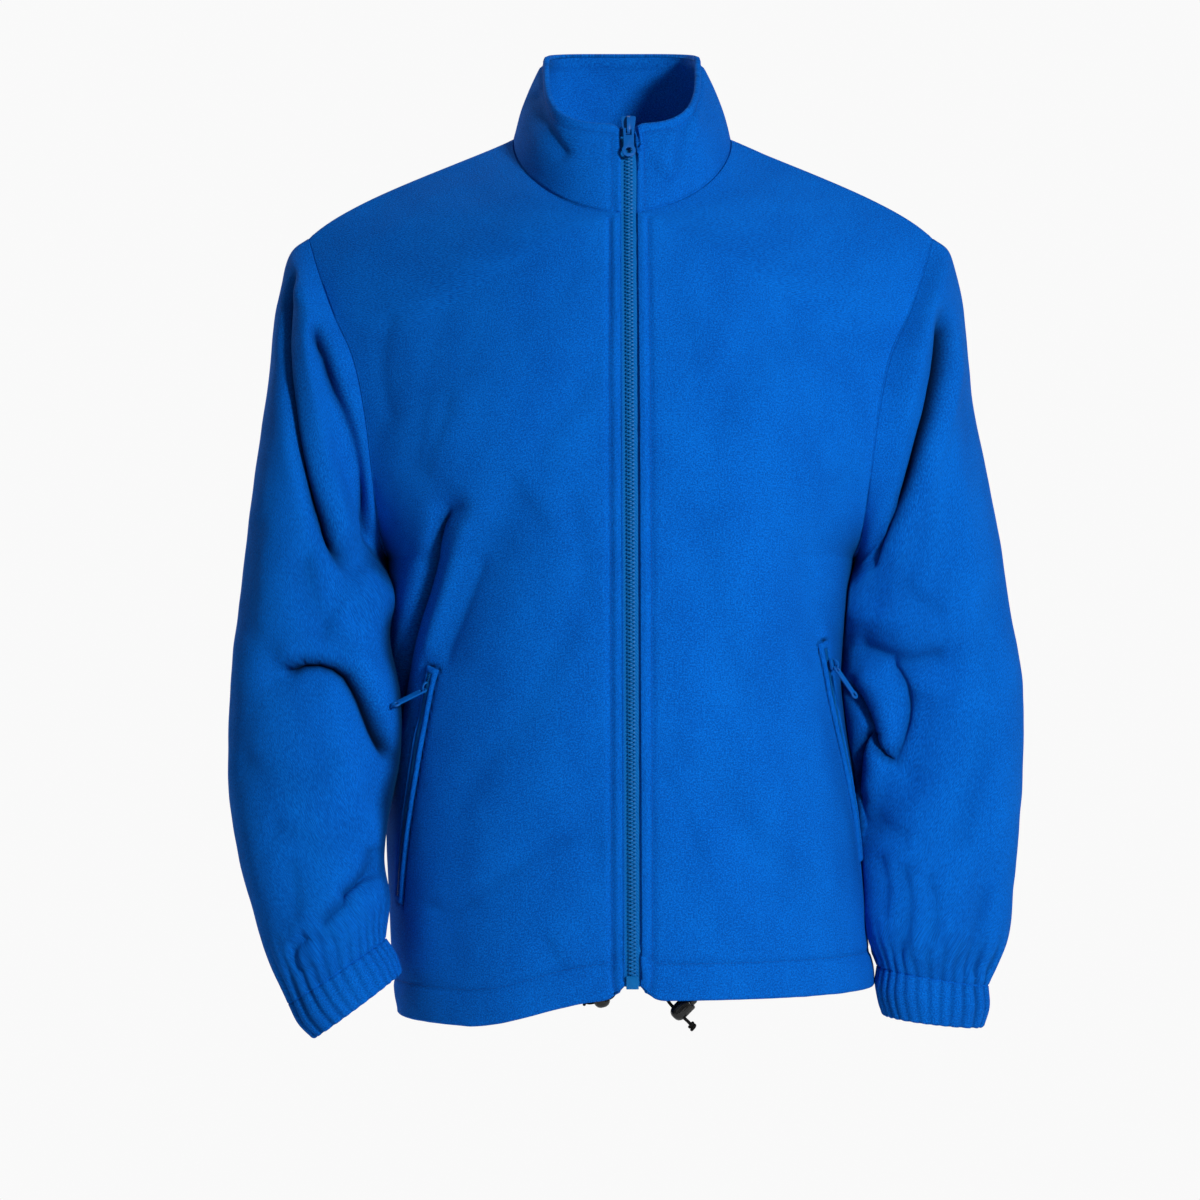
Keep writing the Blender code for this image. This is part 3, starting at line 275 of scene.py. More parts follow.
def piece_of(points, sign, thick=FLEECE, around=False, lip=SEAM_LIP):
    """A piece of cloth: its outer points, which way it faces, its thickness, how far its edges round out, and
    how much painted shade darkens each point, kept as its fold."""
    piece = SimpleNamespace(points=points.copy(), seams=points.copy(), sign=sign, around=around, joined=0)
    piece.thick, piece.lip = (np.full(points.shape[:2], size) for size in (thick, lip))
    piece.free, piece.fold = 1.0, np.zeros(points.shape[:2])
    return measured(piece)


def measured(piece):
    """Notes where each point of a piece lies across and up it, how far from an edge, and the way it faces."""
    points = piece.points
    run = np.concatenate([points, points[:, :1]], axis=1) if piece.around else points
    steps = np.linalg.norm(np.diff(run, axis=1), axis=2)
    piece.across = np.pad(np.cumsum(steps, axis=1), ((0, 0), (1, 0)))
    piece.up = np.pad(np.cumsum(np.linalg.norm(np.diff(points, axis=0), axis=2), axis=0), ((1, 0), (0, 0)))
    edges = [piece.up, piece.up[-1:] - piece.up]
    if not piece.around:
        edges += [piece.across, piece.across[:, -1:] - piece.across]
    piece.from_edge = np.min(edges, axis=0)
    piece.out = facing(piece)
    return piece


def facing(piece):
    """Unit normals of a piece."""
    if piece.around:
        across = np.roll(piece.points, -1, axis=1) - np.roll(piece.points, 1, axis=1)
    else:
        across = np.gradient(piece.points, axis=1)
    return unit(np.cross(across, np.gradient(piece.points, axis=0))) * piece.sign


def beside(piece, route):
    """For each point of a piece, seen from the front: how far it lies to the left of a route, its share of
    the way along the route, and the way towards the left."""
    left, share, near = (np.full(piece.points.shape[:2], value) for value in (0.0, 0.0, np.inf))
    toward = np.zeros_like(piece.points)
    for leg, (start, end) in enumerate(zip(route[:-1], route[1:])):
        offset, step = piece.points[..., ::2] - start, end - start
        part = np.clip(offset @ step / (step @ step), 0, 1)
        far = np.linalg.norm(offset - part[..., None] * step, axis=-1)
        closer = far < near
        share[closer] = (leg + part[closer]) / (len(route) - 1)
        left[closer] = (np.sign(step[0] * offset[..., 1] - step[1] * offset[..., 0]) * far)[closer]
        toward[closer] = np.array([-step[1], 0, step[0]]) / math.hypot(*step)
        near = np.minimum(near, far)
    toward -= piece.out * np.sum(toward * piece.out, axis=-1, keepdims=True)
    return left, share, toward


def facing_side(piece, face):
    """1 on the side of a piece that faces the front (face -1) or the back (face 1), and 0 behind."""
    return np.clip(face * piece.out[..., 1] * 2.5, 0, 1)


def groove(distance, half_width, depth):
    return depth * np.exp(-((distance / half_width) ** 2))


def sink(piece, depth):
    piece.points = piece.points - piece.out * depth[..., None]


def paint_shade(piece, fold):
    """Paints shade on a piece: lets its painted shade, its fold, be at least so dark."""
    piece.fold = np.maximum(piece.fold, fold)


def draw_in(piece, folds, face, fade):
    """Draws the points of a piece closer together beside each deep fold that it will take."""
    fade = fade * facing_side(piece, face) * piece.free
    for half_width, _, route in (fold for fold in folds if fold[1] > FOLD_DEEP / 2):
        left, share, toward = beside(piece, evenly(route, 12))
        ends = ease(share / 0.05) * ease((1 - share) / 0.05)
        drawn = FOLD_DRAW * left * groove(left, DRAW_REACH * half_width, 1) * ends
        piece.points = piece.points - toward * (drawn * fade)[..., None]
    measured(piece)


def crease(piece, broad, folds, face, fade):
    """Presses soft troughs and folds into a piece. At a fold the cloth to the left of its route, seen from its
    start, stands up in a roll and hangs over the trough, and painted shade darkens the trough. `fade` is 0
    where the cloth is held by a seam, and piece.free is 0 where it lies too flat for a fold."""
    fade = fade * facing_side(piece, face)
    deepest = np.zeros_like(fade)
    for half_width, depth, route in broad:
        left, _, _ = beside(piece, np.array(route))
        deepest = np.maximum(deepest, groove(left, half_width, depth))
    sink(piece, deepest * fade)
    fade = fade * piece.free
    moved = np.zeros_like(piece.points)
    for half_width, depth, route in folds:
        left, share, toward = beside(piece, evenly(route, 12))
        t, ends = left / half_width, ease(share / 0.12) * ease((1 - share) / 0.14) * fade
        trough = groove(t, np.where(t > 0, 0.85, 1.2), 1)
        rolls = groove(t - 2.7, 1.5, 0.40) + groove(t + 3.0, 1.6, 0.12)
        lean = groove(t - 1.1, 0.9, min(1.3 * half_width, max(0, depth)))
        moved -= piece.out * (depth * ends * (trough - rolls))[..., None] + toward * (ends * lean)[..., None]
        # Painted shade along the trough, full where the fold is FOLD_DEEP deep.
        paint_shade(piece, groove(t - 0.1, 1.15, 1) * ends * min(1, max(0, depth) / FOLD_DEEP) ** 2)
    piece.points = piece.points + moved


def lumps(piece, size, seed):
    """Unevenness from -1 to 1, with waves about `size` metres long."""
    flat = piece.points.reshape(-1, 3) / size + (seed * 3.7, seed * 1.3, seed * 5.1)
    return np.array([noise.noise(Vector(point)) for point in flat.tolist()]).reshape(piece.points.shape[:2])


def waves(piece, seeds):
    """The slow unevenness of a panel."""
    return sum(depth * lumps(piece, size, seed) for (depth, size), seed in zip(CLOTH_WAVES, seeds))


def paint_flank_shade(piece, side, close):
    """Paints shade on a piece below the armpit where it lies close to its neighbour."""
    height = piece.points[..., 2]
    low = ease((ARMPIT_Z + 0.040 - height) / 0.050) * ease((height + 0.650) / 0.130)
    paint_shade(piece, FLANK_SHADE[side] * close * low)


def casing(piece, depth):
    """How deep the casing's row of stitches sinks a panel, less how far the casing stands up."""
    return groove(piece.up - HEM_CASING, 0.0028, depth) - groove(piece.up - HEM_CASING / 2, 0.0100, 0.0012)


class Value:
    """A number that varies over a surface. Reckoning with it adds Math nodes to its finish."""

    def __init__(self, finish, socket):
        self.finish, self.socket = finish, socket

    def maths(self, operation, *values):
        return self.finish.node("ShaderNodeMath", {"operation": operation}, dict(enumerate(values)))

    def __add__(self, other):
        return self.maths("ADD", self, other)

    def __mul__(self, other):
        return self.maths("MULTIPLY", self, other)

    __radd__, __rmul__ = __add__, __mul__


class Finish:
    """A finish. Its shader takes constants on its own sockets, and links for what varies."""

    def __init__(self, name, **constants):
        self.material = bpy.data.materials.new(name)
        self.material.use_nodes = True
        self.tree = self.material.node_tree
        self.shader = self.tree.nodes["Principled BSDF"]
        for socket, value in constants.items():
            self.shader.inputs[socket.replace("_", " ")].default_value = value

    def node(self, kind, settings=None, inputs=None, output=0):
        """Adds a node: its settings first, then the value or link of each socket. Returns one output."""
        made = self.tree.nodes.new(kind)
        for name, value in (settings or {}).items():
            if name == "stops":
                ramp = made.color_ramp.elements
                while len(ramp) < len(value):
                    ramp.new(0.5)
                for stop, (place, colour) in zip(ramp, value):
                    stop.position, stop.color = place, (*colour, 1)
            else:
                setattr(made, name, value)
        for socket, value in (inputs or {}).items():
            self.feed(made.inputs[socket], value)
        return Value(self, made.outputs[output])

    def feed(self, socket, value):
        if isinstance(value, Value):
            self.tree.links.new(value.socket, socket)
        else:
            colour = isinstance(value, tuple) and socket.type == "RGBA"
            socket.default_value = (*value, 1) if colour else value

    def drive(self, **links):
        for socket, value in links.items():
            self.feed(self.shader.inputs[socket.replace("_", " ")], value)

    def place(self, scale=(1, 1, 1), uv=True):
        """The cloth's own coordinates in metres, or the object's, stretched by a Mapping node."""
        kind = ("ShaderNodeUVMap", {"uv_map": "cloth"}) if uv else ("ShaderNodeTexCoord", {})
        source = self.node(*kind, output=0 if uv else 3)
        return self.node("ShaderNodeMapping", {}, {0: source, 3: scale})

    def noise(self, place, scale, detail=2.0, rough=0.55):
        inputs = {"Vector": place, "Scale": scale, "Detail": detail, "Roughness": rough}
        return self.node("ShaderNodeTexNoise", {}, inputs)

    def mix(self, factor, first, second):
        return self.node("ShaderNodeMix", {"data_type": "RGBA"}, {0: factor, 6: first, 7: second}, 2)

    def bump(self, height, distance, strength=1.0, after=None):
        inputs = {"Height": height, "Distance": distance, "Strength": strength}
        if after:
            inputs["Normal"] = after
        return self.node("ShaderNodeBump", {}, inputs)


def fleece_finish(name, deep, middle, bright):
    """Brushed fleece: a short matted nap that lies in soft streaks along the cloth and gathers in tufts. Its
    attribute fold is painted shade, which mixes the colour towards near black.
    """
    sheen = dict(Sheen_Weight=0.08, Sheen_Roughness=0.40, Sheen_Tint=(0.02, 0.40, 0.85, 1))
    finish = Finish(name, Roughness=0.95, Specular_IOR_Level=0.04, **sheen)
    place = finish.place()
    tufts = finish.noise(place, 760, 3, 0.65)
    fibres = finish.noise(finish.place((2600, 1900, 1)), 1, 2, 0.65)
    streaks = finish.noise(finish.place((300, 110, 1)), 1, 3, 0.6)
    patches = finish.noise(finish.place((22, 13, 1)), 1, 2, 0.5)
    tone = tufts * 0.58 + fibres * 0.36 + streaks * 0.08 + patches * 0.12
    stops = (0.48, deep), (0.57, middle), (0.66, bright)
    colour = finish.node("ShaderNodeValToRGB", {"stops": stops}, {0: tone})
    # Painted shade: the attribute fold darkens the folds, the grooves, the slits and the flanks.
    fold = finish.node("ShaderNodeAttribute", {"attribute_name": "fold"}, output=2)
    colour = finish.mix(fold, colour, tuple(0.05 * part for part in deep))
    nap = finish.bump(tufts * 0.9 + streaks * 0.1, 0.0011, 0.6)
    bump = finish.bump(fibres, 0.0005, 0.6, nap)
    finish.drive(Base_Color=colour, Roughness=0.86 + streaks * 0.16, Normal=bump)
    return finish.material


FLEECE_BLUE = fleece_finish(
    "fleece_blue", (0.0008, 0.070, 0.370), (0.0012, 0.108, 0.540), (0.002, 0.165, 0.700)
)


def settled(name, bm, look, body):
    """Makes a mesh object that rides on a body, from a bmesh."""
    mesh = bpy.data.meshes.new(name)
    bm.to_mesh(mesh)
    bm.free()
    mesh.shade_smooth()
    mesh.materials.append(look)
    thing = bpy.data.objects.new(name, mesh)
    bpy.context.scene.collection.objects.link(thing)
    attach(thing, body)
    return thing


def turn_over(bm, corners):
    """Turns the faces at these corners over."""
    bmesh.ops.reverse_faces(bm, faces=list({face for corner in corners for face in corner.link_faces}))


def shell(name, cloths, look):
    """One closed wall of cloth on the points of one piece, or of two that join along their first columns.
    Every edge is turned over in a round lip."""
    wall = bmesh.new()
    lip, depth = wall.verts.layers.float_vector.new("lip"), wall.verts.layers.float.new("depth")
    # fold carries each point's painted shade to the fleece finish.
    fold = wall.verts.layers.float.new("fold")
    uv = wall.loops.layers.uv.new("cloth")
    through, place, outs = set(), {}, [facing(piece) for piece in cloths]
    if len(cloths) > 1:
        both = unit(sum(out[: cloths[0].joined, 0] for out in outs))
        for out in outs:
            out[: cloths[0].joined, 0] = both
    for piece, out in zip(cloths, outs):
        thick, around = piece.thick[..., None], piece.around
        rows, columns = piece.thick.shape
        joined = np.arange(rows) < piece.joined
        outward = np.zeros_like(piece.points)
        outward[0], outward[-1] = piece.points[0] - piece.points[1], piece.points[-1] - piece.points[-2]
        if not around:
            outward[~joined, 0] += piece.points[~joined, 0] - piece.points[~joined, 1]
            outward[:, -1] += piece.points[:, -1] - piece.points[:, -2]
        edge = np.linalg.norm(outward, axis=2) > 0
        lifted = np.sum(outward[edge] * out[edge], axis=-1, keepdims=True)
        outward[edge] = unit(outward[edge] - out[edge] * lifted)
        radius = piece.lip[..., None]
        points = piece.points - outward * (radius + SEAM_ROOM)
        sides = []
        for inside in (0, 1):
            segments = dict(x_segments=columns - 1 + around, y_segments=rows - 1)
            made = bmesh.ops.create_grid(wall, size=1, **segments)["verts"]
            if (piece.sign < 0) != inside:
                turn_over(wall, made)
            made = np.array(made, object).reshape(rows, columns + around)
            for j in range(rows):
                for i in range(columns + around):
                    k = i % columns
                    spot = made[j, i]
                    spot.co = points[j, k] - out[j, k] * thick[j, k] * inside
                    spot[lip] = outward[j, k] * 2 * radius[j, k]
                    spot[depth], spot[fold] = inside, piece.fold[j, k]
                    place[spot] = (piece.across[j, i], piece.up[j, k])
            sides.append(made)
        bottom, top = ([(j, i) for i in range(columns + around)] for j in (0, rows - 1))
        borders = [bottom, top[::-1]]
        if not around:
            first, last = ([(j, i) for j in range(rows)] for i in (0, columns - 1))
            borders += [last, first[piece.joined :][::-1]]
        for border in borders:
            for a, b in zip(border[:-1], border[1:]):
                corners = sides[0][b], sides[0][a], sides[1][a], sides[1][b]
                wall.faces.new(corners if piece.sign > 0 else corners[::-1])
            through |= {wall.edges.get((sides[0][spot], sides[1][spot])) for spot in border}
    for face in wall.faces:
        for loop in face.loops:
            loop[uv].uv = place[loop.vert]
    bmesh.ops.subdivide_edges(wall, edges=[edge for edge in through if edge], cuts=3)
    for spot in wall.verts:
        if 0.01 < spot[depth] < 0.99:
            spot.co += spot[lip] * math.sqrt(spot[depth] * (1 - spot[depth]))
    if len(cloths) > 1 or around:
        bmesh.ops.remove_doubles(wall, verts=wall.verts, dist=0.000004)
    return settled(name, wall, look, "jacket")


def surface(grids):
    """What rays and nearest points are sought on: a surface through grids of points."""
    corners, faces = [], []
    for grid in grids:
        rows, columns = grid.shape[:2]
        for j in range(rows - 1):
            for i in range(columns - 1):
                a = len(corners) + j * columns + i
                faces.append((a, a + 1, a + columns + 1, a + columns))
        corners += grid.reshape(-1, 3).tolist()
    return BVHTree.FromPolygons(corners, faces)


def allowance(name, line, before, after, out, sign, around=False):
    """The edges of the cloth that a seam turns in: a strip close inside the seam's line, along the cloth
    on both sides of it."""
    line = line - out * SEAM_DEPTH
    strip = np.array([line + before * ALLOWANCE, line, line + after * ALLOWANCE])
    shell(name, [piece_of(strip, sign, FLEECE, around)], FLEECE_BLUE)


# A pocket's opening: height, and share of the way across the front, of its top and of its bottom.
POCKETS = {1: ((-0.401, 0.715), (-0.575, 0.930)), -1: ((-0.420, 0.565), (-0.594, 0.790))}
OPENING_STEPS, WELT_HALF_WIDTH = 48, 0.0064
POCKET_FLAT, POCKET_FADE = 0.006, 0.014  # how far round an opening the cloth is flat, and folds fade
WELT_DIP, WELT_SHADE = 0.0016, 0.9  # beside a welt the cloth is pressed in, and painted shade darkens it


def on_grid(values, row, column):
    """A value between the four nearest of a grid."""
    j, i = min(int(row), len(values) - 2), min(int(column), values.shape[1] - 2)
    f, g = row - j, column - i
    low, high = (values[k, i] * (1 - g) + values[k, i + 1] * g for k in (j, j + 1))
    return low * (1 - f) + high * f


def opening(front, side):
    """The middle line of a pocket's opening, from its top, and the way the cloth faces along it."""
    (high, first), (low, last) = POCKETS[side]
    rows = np.interp(np.linspace(high, low, OPENING_STEPS + 1), PANEL_HEIGHTS, range(ARMPIT_ROW + 1))
    columns = np.interp(np.linspace(first, last, OPENING_STEPS + 1), SHARES, range(COLUMNS + 1))
    places = list(zip(rows, columns))
    return [np.array([on_grid(grid, *place) for place in places]) for grid in (front.points, front.out)]


fronts = {}
for side, word in ((1, "left"), (-1, "right")):
    points = half_panel(side, -1, FRONT_MIDDLE, FRONT_NECK_ROWS, FRONT_ARMHOLE, FRONT_BENDS)
    front = fronts[side] = piece_of(points, side)
    front.thick[: CASING_ROWS + 1] = TURNED_UP
    front.lip[0], front.lip[1:, 0] = HEM_LIP, FLEECE / 2
    slit = opening(front, side)[0]
    from_slit = np.min(np.linalg.norm(front.points[:, :, None] - slit[::2], axis=-1), axis=-1)
    front.free = ease((from_slit - POCKET_FLAT) / POCKET_FADE)
    fade = ease(front.from_edge / FOLD_FADE)
    draw_in(front, FRONT_FOLDS, -1, fade)
    crease(front, FRONT_CREASES, FRONT_FOLDS, -1, fade)
    # Painted shade at the flank, near the side seam and away from the pocket.
    paint_flank_shade(front, side, groove(front.across[:, -1:] - front.across, FLANK_WIDTH, 1) * front.free)
    ends = [(front.points - slit[end]) @ unit(slit[end] - slit[inner]) for end, inner in ((0, 1), (-1, -2))]
    beyond = np.clip(np.maximum(*ends), 0, None)
    aside = np.sqrt(np.clip(from_slit**2 - beyond**2, 0, None)) - WELT_HALF_WIDTH
    off_welt = np.where(beyond > 0, np.maximum(aside, beyond), from_slit - WELT_HALF_WIDTH)
    beside_welt = groove(off_welt - 0.0004, SHADE_WIDTH, 1)
    # Painted shade in the groove beside the welt.
    paint_shade(front, WELT_SHADE * beside_welt)
    sink(front, waves(front, (side, 3 * side)) * ease(front.from_edge / WAVE_FADE) * front.free)
    below_neck = np.arange(len(points))[:, None] < len(points) - FRONT_NECK_ROWS
    from_zip = np.where(below_neck, front.across, 1)
    pulled = np.exp(-from_zip / 0.012) + np.exp(-front.up / 0.030)
    puckers = PUCKER_DEPTH * lumps(front, PUCKER_SIZE, 5) * pulled
    rows_of_stitches = from_zip - ZIP_STITCH, front.up - HEM_CASING
    # Painted shade along the rows of stitches beside the zip and above the casing.
    paint_shade(front, sum(groove(distance, SHADE_WIDTH, STITCH_SHADE) for distance in rows_of_stitches))
    beside_zip = groove(from_zip - ZIP_STITCH, STITCH_WIDTH, STITCH_DEPTH)
    beside_zip -= groove(from_zip - 0.0055, 0.0036, 0.0008)
    sink(front, beside_zip + casing(front, 0.0015) + WELT_DIP * beside_welt + puckers)
    panel = shell(f"front_panel_{word}", [front], FLEECE_BLUE)
    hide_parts(f"front_{word}")

# ---------------------------------------------------------------------------------------------------------
# Back. One panel of the same fleece, joined to the fronts at the shoulders and the sides. Its hem runs on
# from the fronts' as the same turned-up casing.

BACK_MIDDLE = metres(
    (-335, 120), (-260, 128), (-180, 130), (-110, 122), (-50, 105), (18, 75),
)
BACK_ARMHOLE = metres(
    (249.5, -3, -79), (242, 20, -104), (231, 42, -133), (216, 66, -180), (206, 80, -235), (198, 74, -285),
    (190, 37, -324), (186, 0, -335),
)
BACK_BENDS = (
    (0.00, 0.55, 0.000, 0.000, 0.000, 0.0720, 0.000),
    (0.25, 0.56, 0.004, -0.004, -0.150, 0.052, 0.018),
    (0.50, 0.35, 0.006, -0.018, -0.256, 0.034, 0.025),
    (0.71, 0.29, 0.022, -0.022, -0.245, 0.042, 0.048),
    (0.86, 0.25, 0.012, -0.018, -0.276, 0.024, 0.036),
    (1.00, 0.33, 0.000, -0.024, -0.180, 0.001, 0.030),
)
BACK_CREASES = routed(
    (18, 8, 168, -265, 146, -345, 138, -430),
    (18, 8, -162, -260, -142, -335, -132, -440),
    (24, 5, 60, -400, 70, -480, 66, -590),
    (24, 5, -45, -420, -62, -500, -58, -600),
)
BACK_FOLDS = routed(
    (6, 6.6, 166, -245, 150, -320, 139, -395, 134, -440),
    (6, 6, -160, -240, -146, -315, -134, -390, -130, -450),
    (9, 3, 40, -100, 95, -150, 150, -180),
    (9, 2.7, -30, -105, -88, -148, -146, -190),
    (12, 3.3, 108, -230, 80, -320, 70, -420),
    (12, 3, -102, -250, -72, -330, -50, -430),
    (8, 3, 146, -470, 110, -520, 80, -600),
    (8, 3.3, -150, -480, -112, -545, -76, -625),
    (7, 2.7, 10, -480, 20, -550, 14, -625),
    (7, 2.4, 100, -590, 120, -615, 128, -642),
    (7, 2.4, -14, -590, -24, -620, -22, -646),
    (10, 2.1, 12, -60, 6, -130, 14, -210),
    (10, -2.4, 30, -280, 20, -380, 32, -470),
    (10, -2.4, -30, -250, -18, -350, -22, -450),
)

backs = {}
for side in (1, -1):
    points = half_panel(side, 1, BACK_MIDDLE, BACK_NECK_ROWS, BACK_ARMHOLE, BACK_BENDS)
    back = backs[side] = piece_of(points, -side)
    back.joined = len(points) - BACK_NECK_ROWS
    back.thick[: CASING_ROWS + 1] = TURNED_UP
    back.lip[0] = HEM_LIP
    below_neck = np.arange(len(points))[:, None] < back.joined
    from_seams = np.minimum(back.across[:, -1:] - back.across, back.up)
    back.from_edge = np.where(below_neck, from_seams, back.from_edge)
    fade, from_edge = ease(back.from_edge / FOLD_FADE), back.from_edge
    draw_in(back, BACK_FOLDS, 1, fade)
    crease(back, BACK_CREASES, BACK_FOLDS, 1, fade)
    # Painted shade at the flank, near the side seam.
    paint_flank_shade(back, side, groove(back.across[:, -1:] - back.across, FLANK_WIDTH, 1))
    sink(back, waves(back, (2, 6)) * ease(from_edge / WAVE_FADE))
    puckers = PUCKER_DEPTH * lumps(back, PUCKER_SIZE, 5) * np.exp(-back.up / 0.030)
    sink(back, casing(back, 0.0019) + puckers)
middle = np.s_[: backs[1].joined, 0]
backs[1].points[middle] = backs[-1].points[middle] = (backs[1].points[middle] + backs[-1].points[middle]) / 2
panel = shell("back_panel", [backs[1], backs[-1]], FLEECE_BLUE)
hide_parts("back")
side_seam, beside_it = np.s_[: ARMPIT_ROW + 1, -1], np.s_[: ARMPIT_ROW + 1, -2]
for side, word in ((1, "left"), (-1, "right")):
    for name, sign, line, inner in (("side", side, side_seam, beside_it), ("shoulder", -side, -1, -2)):
        pair = backs[side], fronts[side]
        ways = [unit(panel.seams[inner] - panel.seams[line]) for panel in pair]
        out = unit(sum(panel.out[line] for panel in pair))
        allowance(f"{name}_allowance_{word}", fronts[side].seams[line], *ways, out, sign)

# ---------------------------------------------------------------------------------------------------------
# Sleeves. Each is one tube of fleece, set into its armhole with a plain seam and cut full, so that it
# falls in deep folds beside the body and crumples at the elbow and above the cuff.

AROUND_SLEEVE, SLEEVE_ROWS = 2 * ARMHOLE_ROWS, 168
SLEEVE_HEAD = (0.60, 0.45, 0.25)  # how far each of the first rings takes the armhole's outline
SLEEVE_FULLNESS, SLEEVE_CLEAR, SLEEVE_LEAN = 2.25, 0.0012, 0.016
# Pleats: their depth, how far from the cuff they reach, and how dark the painted shade in their valleys is.
PLEAT_DEPTH, PLEAT_REACH, PLEAT_SHADE = 0.0032, 0.030, 0.60
CUFF_PLEATS = 29

# Rings from the shoulder to the cuff seam: outer x and z, inner x and z, middle y, half depth.
SLEEVE_RINGS, CUFF_RINGS = {}, {}
SLEEVE_RINGS[1] = metres(
    (264.5, -98.5, 191.5, -342, 0, 81), (275.2, -128, 190.5, -351, 2, 81), (287.5, -215, 186, -368, 6, 76),
    (303, -295, 181, -386, 14, 70), (315.5, -368, 178, -415, 22, 67), (326.5, -435, 177, -452, 28, 66),
    (328, -490, 182, -495, 28, 64), (324, -545, 187, -545, 22, 61), (318.5, -595, 191, -592, 10, 56),
    (311.5, -636, 195, -632, -6, 50), (295.5, -674, 206.5, -659, -14, 36),
)
SLEEVE_RINGS[-1] = metres(
    (-259, -98.5, -185.5, -342, -2, 81), (-270.8, -130, -184.5, -351, -6, 81),
    (-281, -215, -182, -368, -20, 77), (-289, -295, -181, -388, -36, 72),
    (-296, -365, -177.5, -408, -50, 68), (-302, -430, -170, -440, -62, 67),
    (-303.5, -490, -169, -485, -68, 66), (-298.5, -545, -178, -530, -72, 62),
    (-288, -595, -181, -568, -75, 57), (-271.5, -645, -176.5, -603, -78, 50),
    (-256.1, -681.2, -179.9, -630.7, -80, 36),
)
SLEEVE_CREASES = {}
SLEEVE_CREASES[1] = routed(
    (15, 7, 262, -150, 249, -207, 230, -280, 212, -330, 200, -365),
    (16, 7.2, 198, -405, 222, -420, 262, -418),
    (16, 6.5, 196, -540, 228, -510, 238, -455),
    (16, 5.2, 296, -590, 288, -630, 282, -655),
)
SLEEVE_CREASES[-1] = routed(
    (15, 6.6, -252, -139, -254, -190, -243, -255, -224, -312),
    (15, 6.2, -236, -160, -210, -229, -199, -278, -198, -330),
    (16, 7.8, -262, -424, -212, -422, -190, -460, -180, -520),
    (15, 4, -176, -600, -206, -616, -230, -628),
)
SLEEVE_BACK_CREASES = routed(
    (18, 12, 258, -150, 240, -230, 215, -320),
    (18, 10, 200, -430, 250, -415, 290, -440),
    (18, 9, 215, -555, 262, -575, 300, -560),
)
SLEEVE_FOLDS = {}
SLEEVE_FOLDS[1] = routed(
    (4.6, 11.2, 260, -135, 255, -175, 249, -207, 239, -244, 228, -280, 211, -320, 196, -350),
    (10, -1.8, 269, -170, 266, -230, 268, -270, 276, -310, 282, -360, 283, -410),
    (9, 3.6, 190, -400, 210, -410, 230, -414, 262, -408),
    (5.8, 4.6, 214, -414, 226, -427, 232, -440, 233, -458, 228, -478, 218, -500),
    (4.2, 8.6, 182, -430, 192, -443, 200, -458, 206, -474, 212, -488, 222, -498),
    (4.2, 7.8, 202, -468, 196, -486, 192.5, -506, 190, -528, 190, -548),
    (8.4, 2.2, 194, -520, 211, -545, 234, -556),
    (7.2, 2.7, 224, -572, 230, -598, 228, -625, 220, -655),
    (6.6, 2.2, 244, -580, 250, -605, 246, -640),
    (6, 2.1, 206, -566, 212, -590, 210, -622),
    (7, 2.6, 296, -590, 287, -620, 285, -645, 280, -668),
    (12, 2.2, 294, -455, 284, -510, 268, -570),
    (9.6, 1.9, 304, -350, 292, -400, 296, -450),
    (9, 1.9, 222, -350, 242, -372, 262, -380),
    (9.6, 1.5, 276, -210, 282, -250, 292, -290),
)
SLEEVE_FOLDS[-1] = routed(
    (4.6, 11.2, -256, -98, -258, -130, -257, -165, -253, -200, -247, -232, -239, -265, -229, -298, -216,
     -330, -203, -352),
    (4.2, 10.8, -242, -148, -230, -168, -219, -200, -206, -232, -198, -258, -196, -290, -197, -330),
    (3.8, 4.4, -199, -230, -195, -262, -193, -292, -190, -324),
    (5, 8.8, -262, -424, -232, -414, -211, -420, -196, -442, -184, -470, -168, -500),
    (8.4, 2.4, -196, -334, -212, -366, -230, -402),
    (10.8, 2.9, -245, -330, -228, -380, -202, -418),
    (7.2, 2.2, -224, -306, -205, -348, -192, -392),
    (13.2, 2.2, -296, -490, -252, -505, -208, -484),
    (12, 2.2, -270, -538, -228, -556, -188, -538),
    (6.2, 4.5, -168, -574, -184, -582, -200, -593, -214, -605, -230, -620),
    (6.5, 4.6, -184, -556, -192, -580, -212, -598),
    (5, 3.4, -234, -626, -243, -634, -246, -644, -242, -655),
    (9.6, 2.1, -252, -560, -246, -600, -262, -640),
    (9.6, 1.7, -276, -300, -284, -352, -282, -404),
)
SLEEVE_BACK_FOLDS = routed(
    (4.8, 7.8, 260, -140, 247, -200, 229, -270, 212, -330),
    (6, 5.4, 232, -180, 214, -250, 204, -320),
    (4.8, 6.8, 194, -425, 226, -418, 262, -416, 298, -446),
    (5.5, 5.1, 200, -452, 226, -470, 238, -505),
    (6, 5.7, 206, -545, 244, -568, 284, -568, 306, -554),
    (8, 3.6, 276, -260, 288, -330, 284, -390),
    (6, 3.9, 226, -590, 236, -620, 232, -655),
    (5.5, 3.6, 264, -600, 268, -630, 262, -662),
)


def hoops(table):
    """Rings of a sleeve or cuff. Each starts at its outer side and goes round by the front."""
    table = np.array(table)
    outer = np.column_stack([table[:, 0], table[:, 4], table[:, 1]])
    inner = np.column_stack([table[:, 2], table[:, 4], table[:, 3]])
    angle = np.linspace(0, 2 * math.pi, AROUND_SLEEVE, endpoint=False)
    cosine, sine = np.cos(angle), np.sin(angle)
    reach = (np.abs(cosine) ** SLEEVE_FULLNESS + np.abs(sine) ** SLEEVE_FULLNESS) ** (-1 / SLEEVE_FULLNESS)
    rings = (outer + inner)[:, None] / 2 + (outer - inner)[:, None] / 2 * (cosine * reach)[:, None]
    rings[..., 1] -= table[:, 5, None] * sine * reach
    return rings


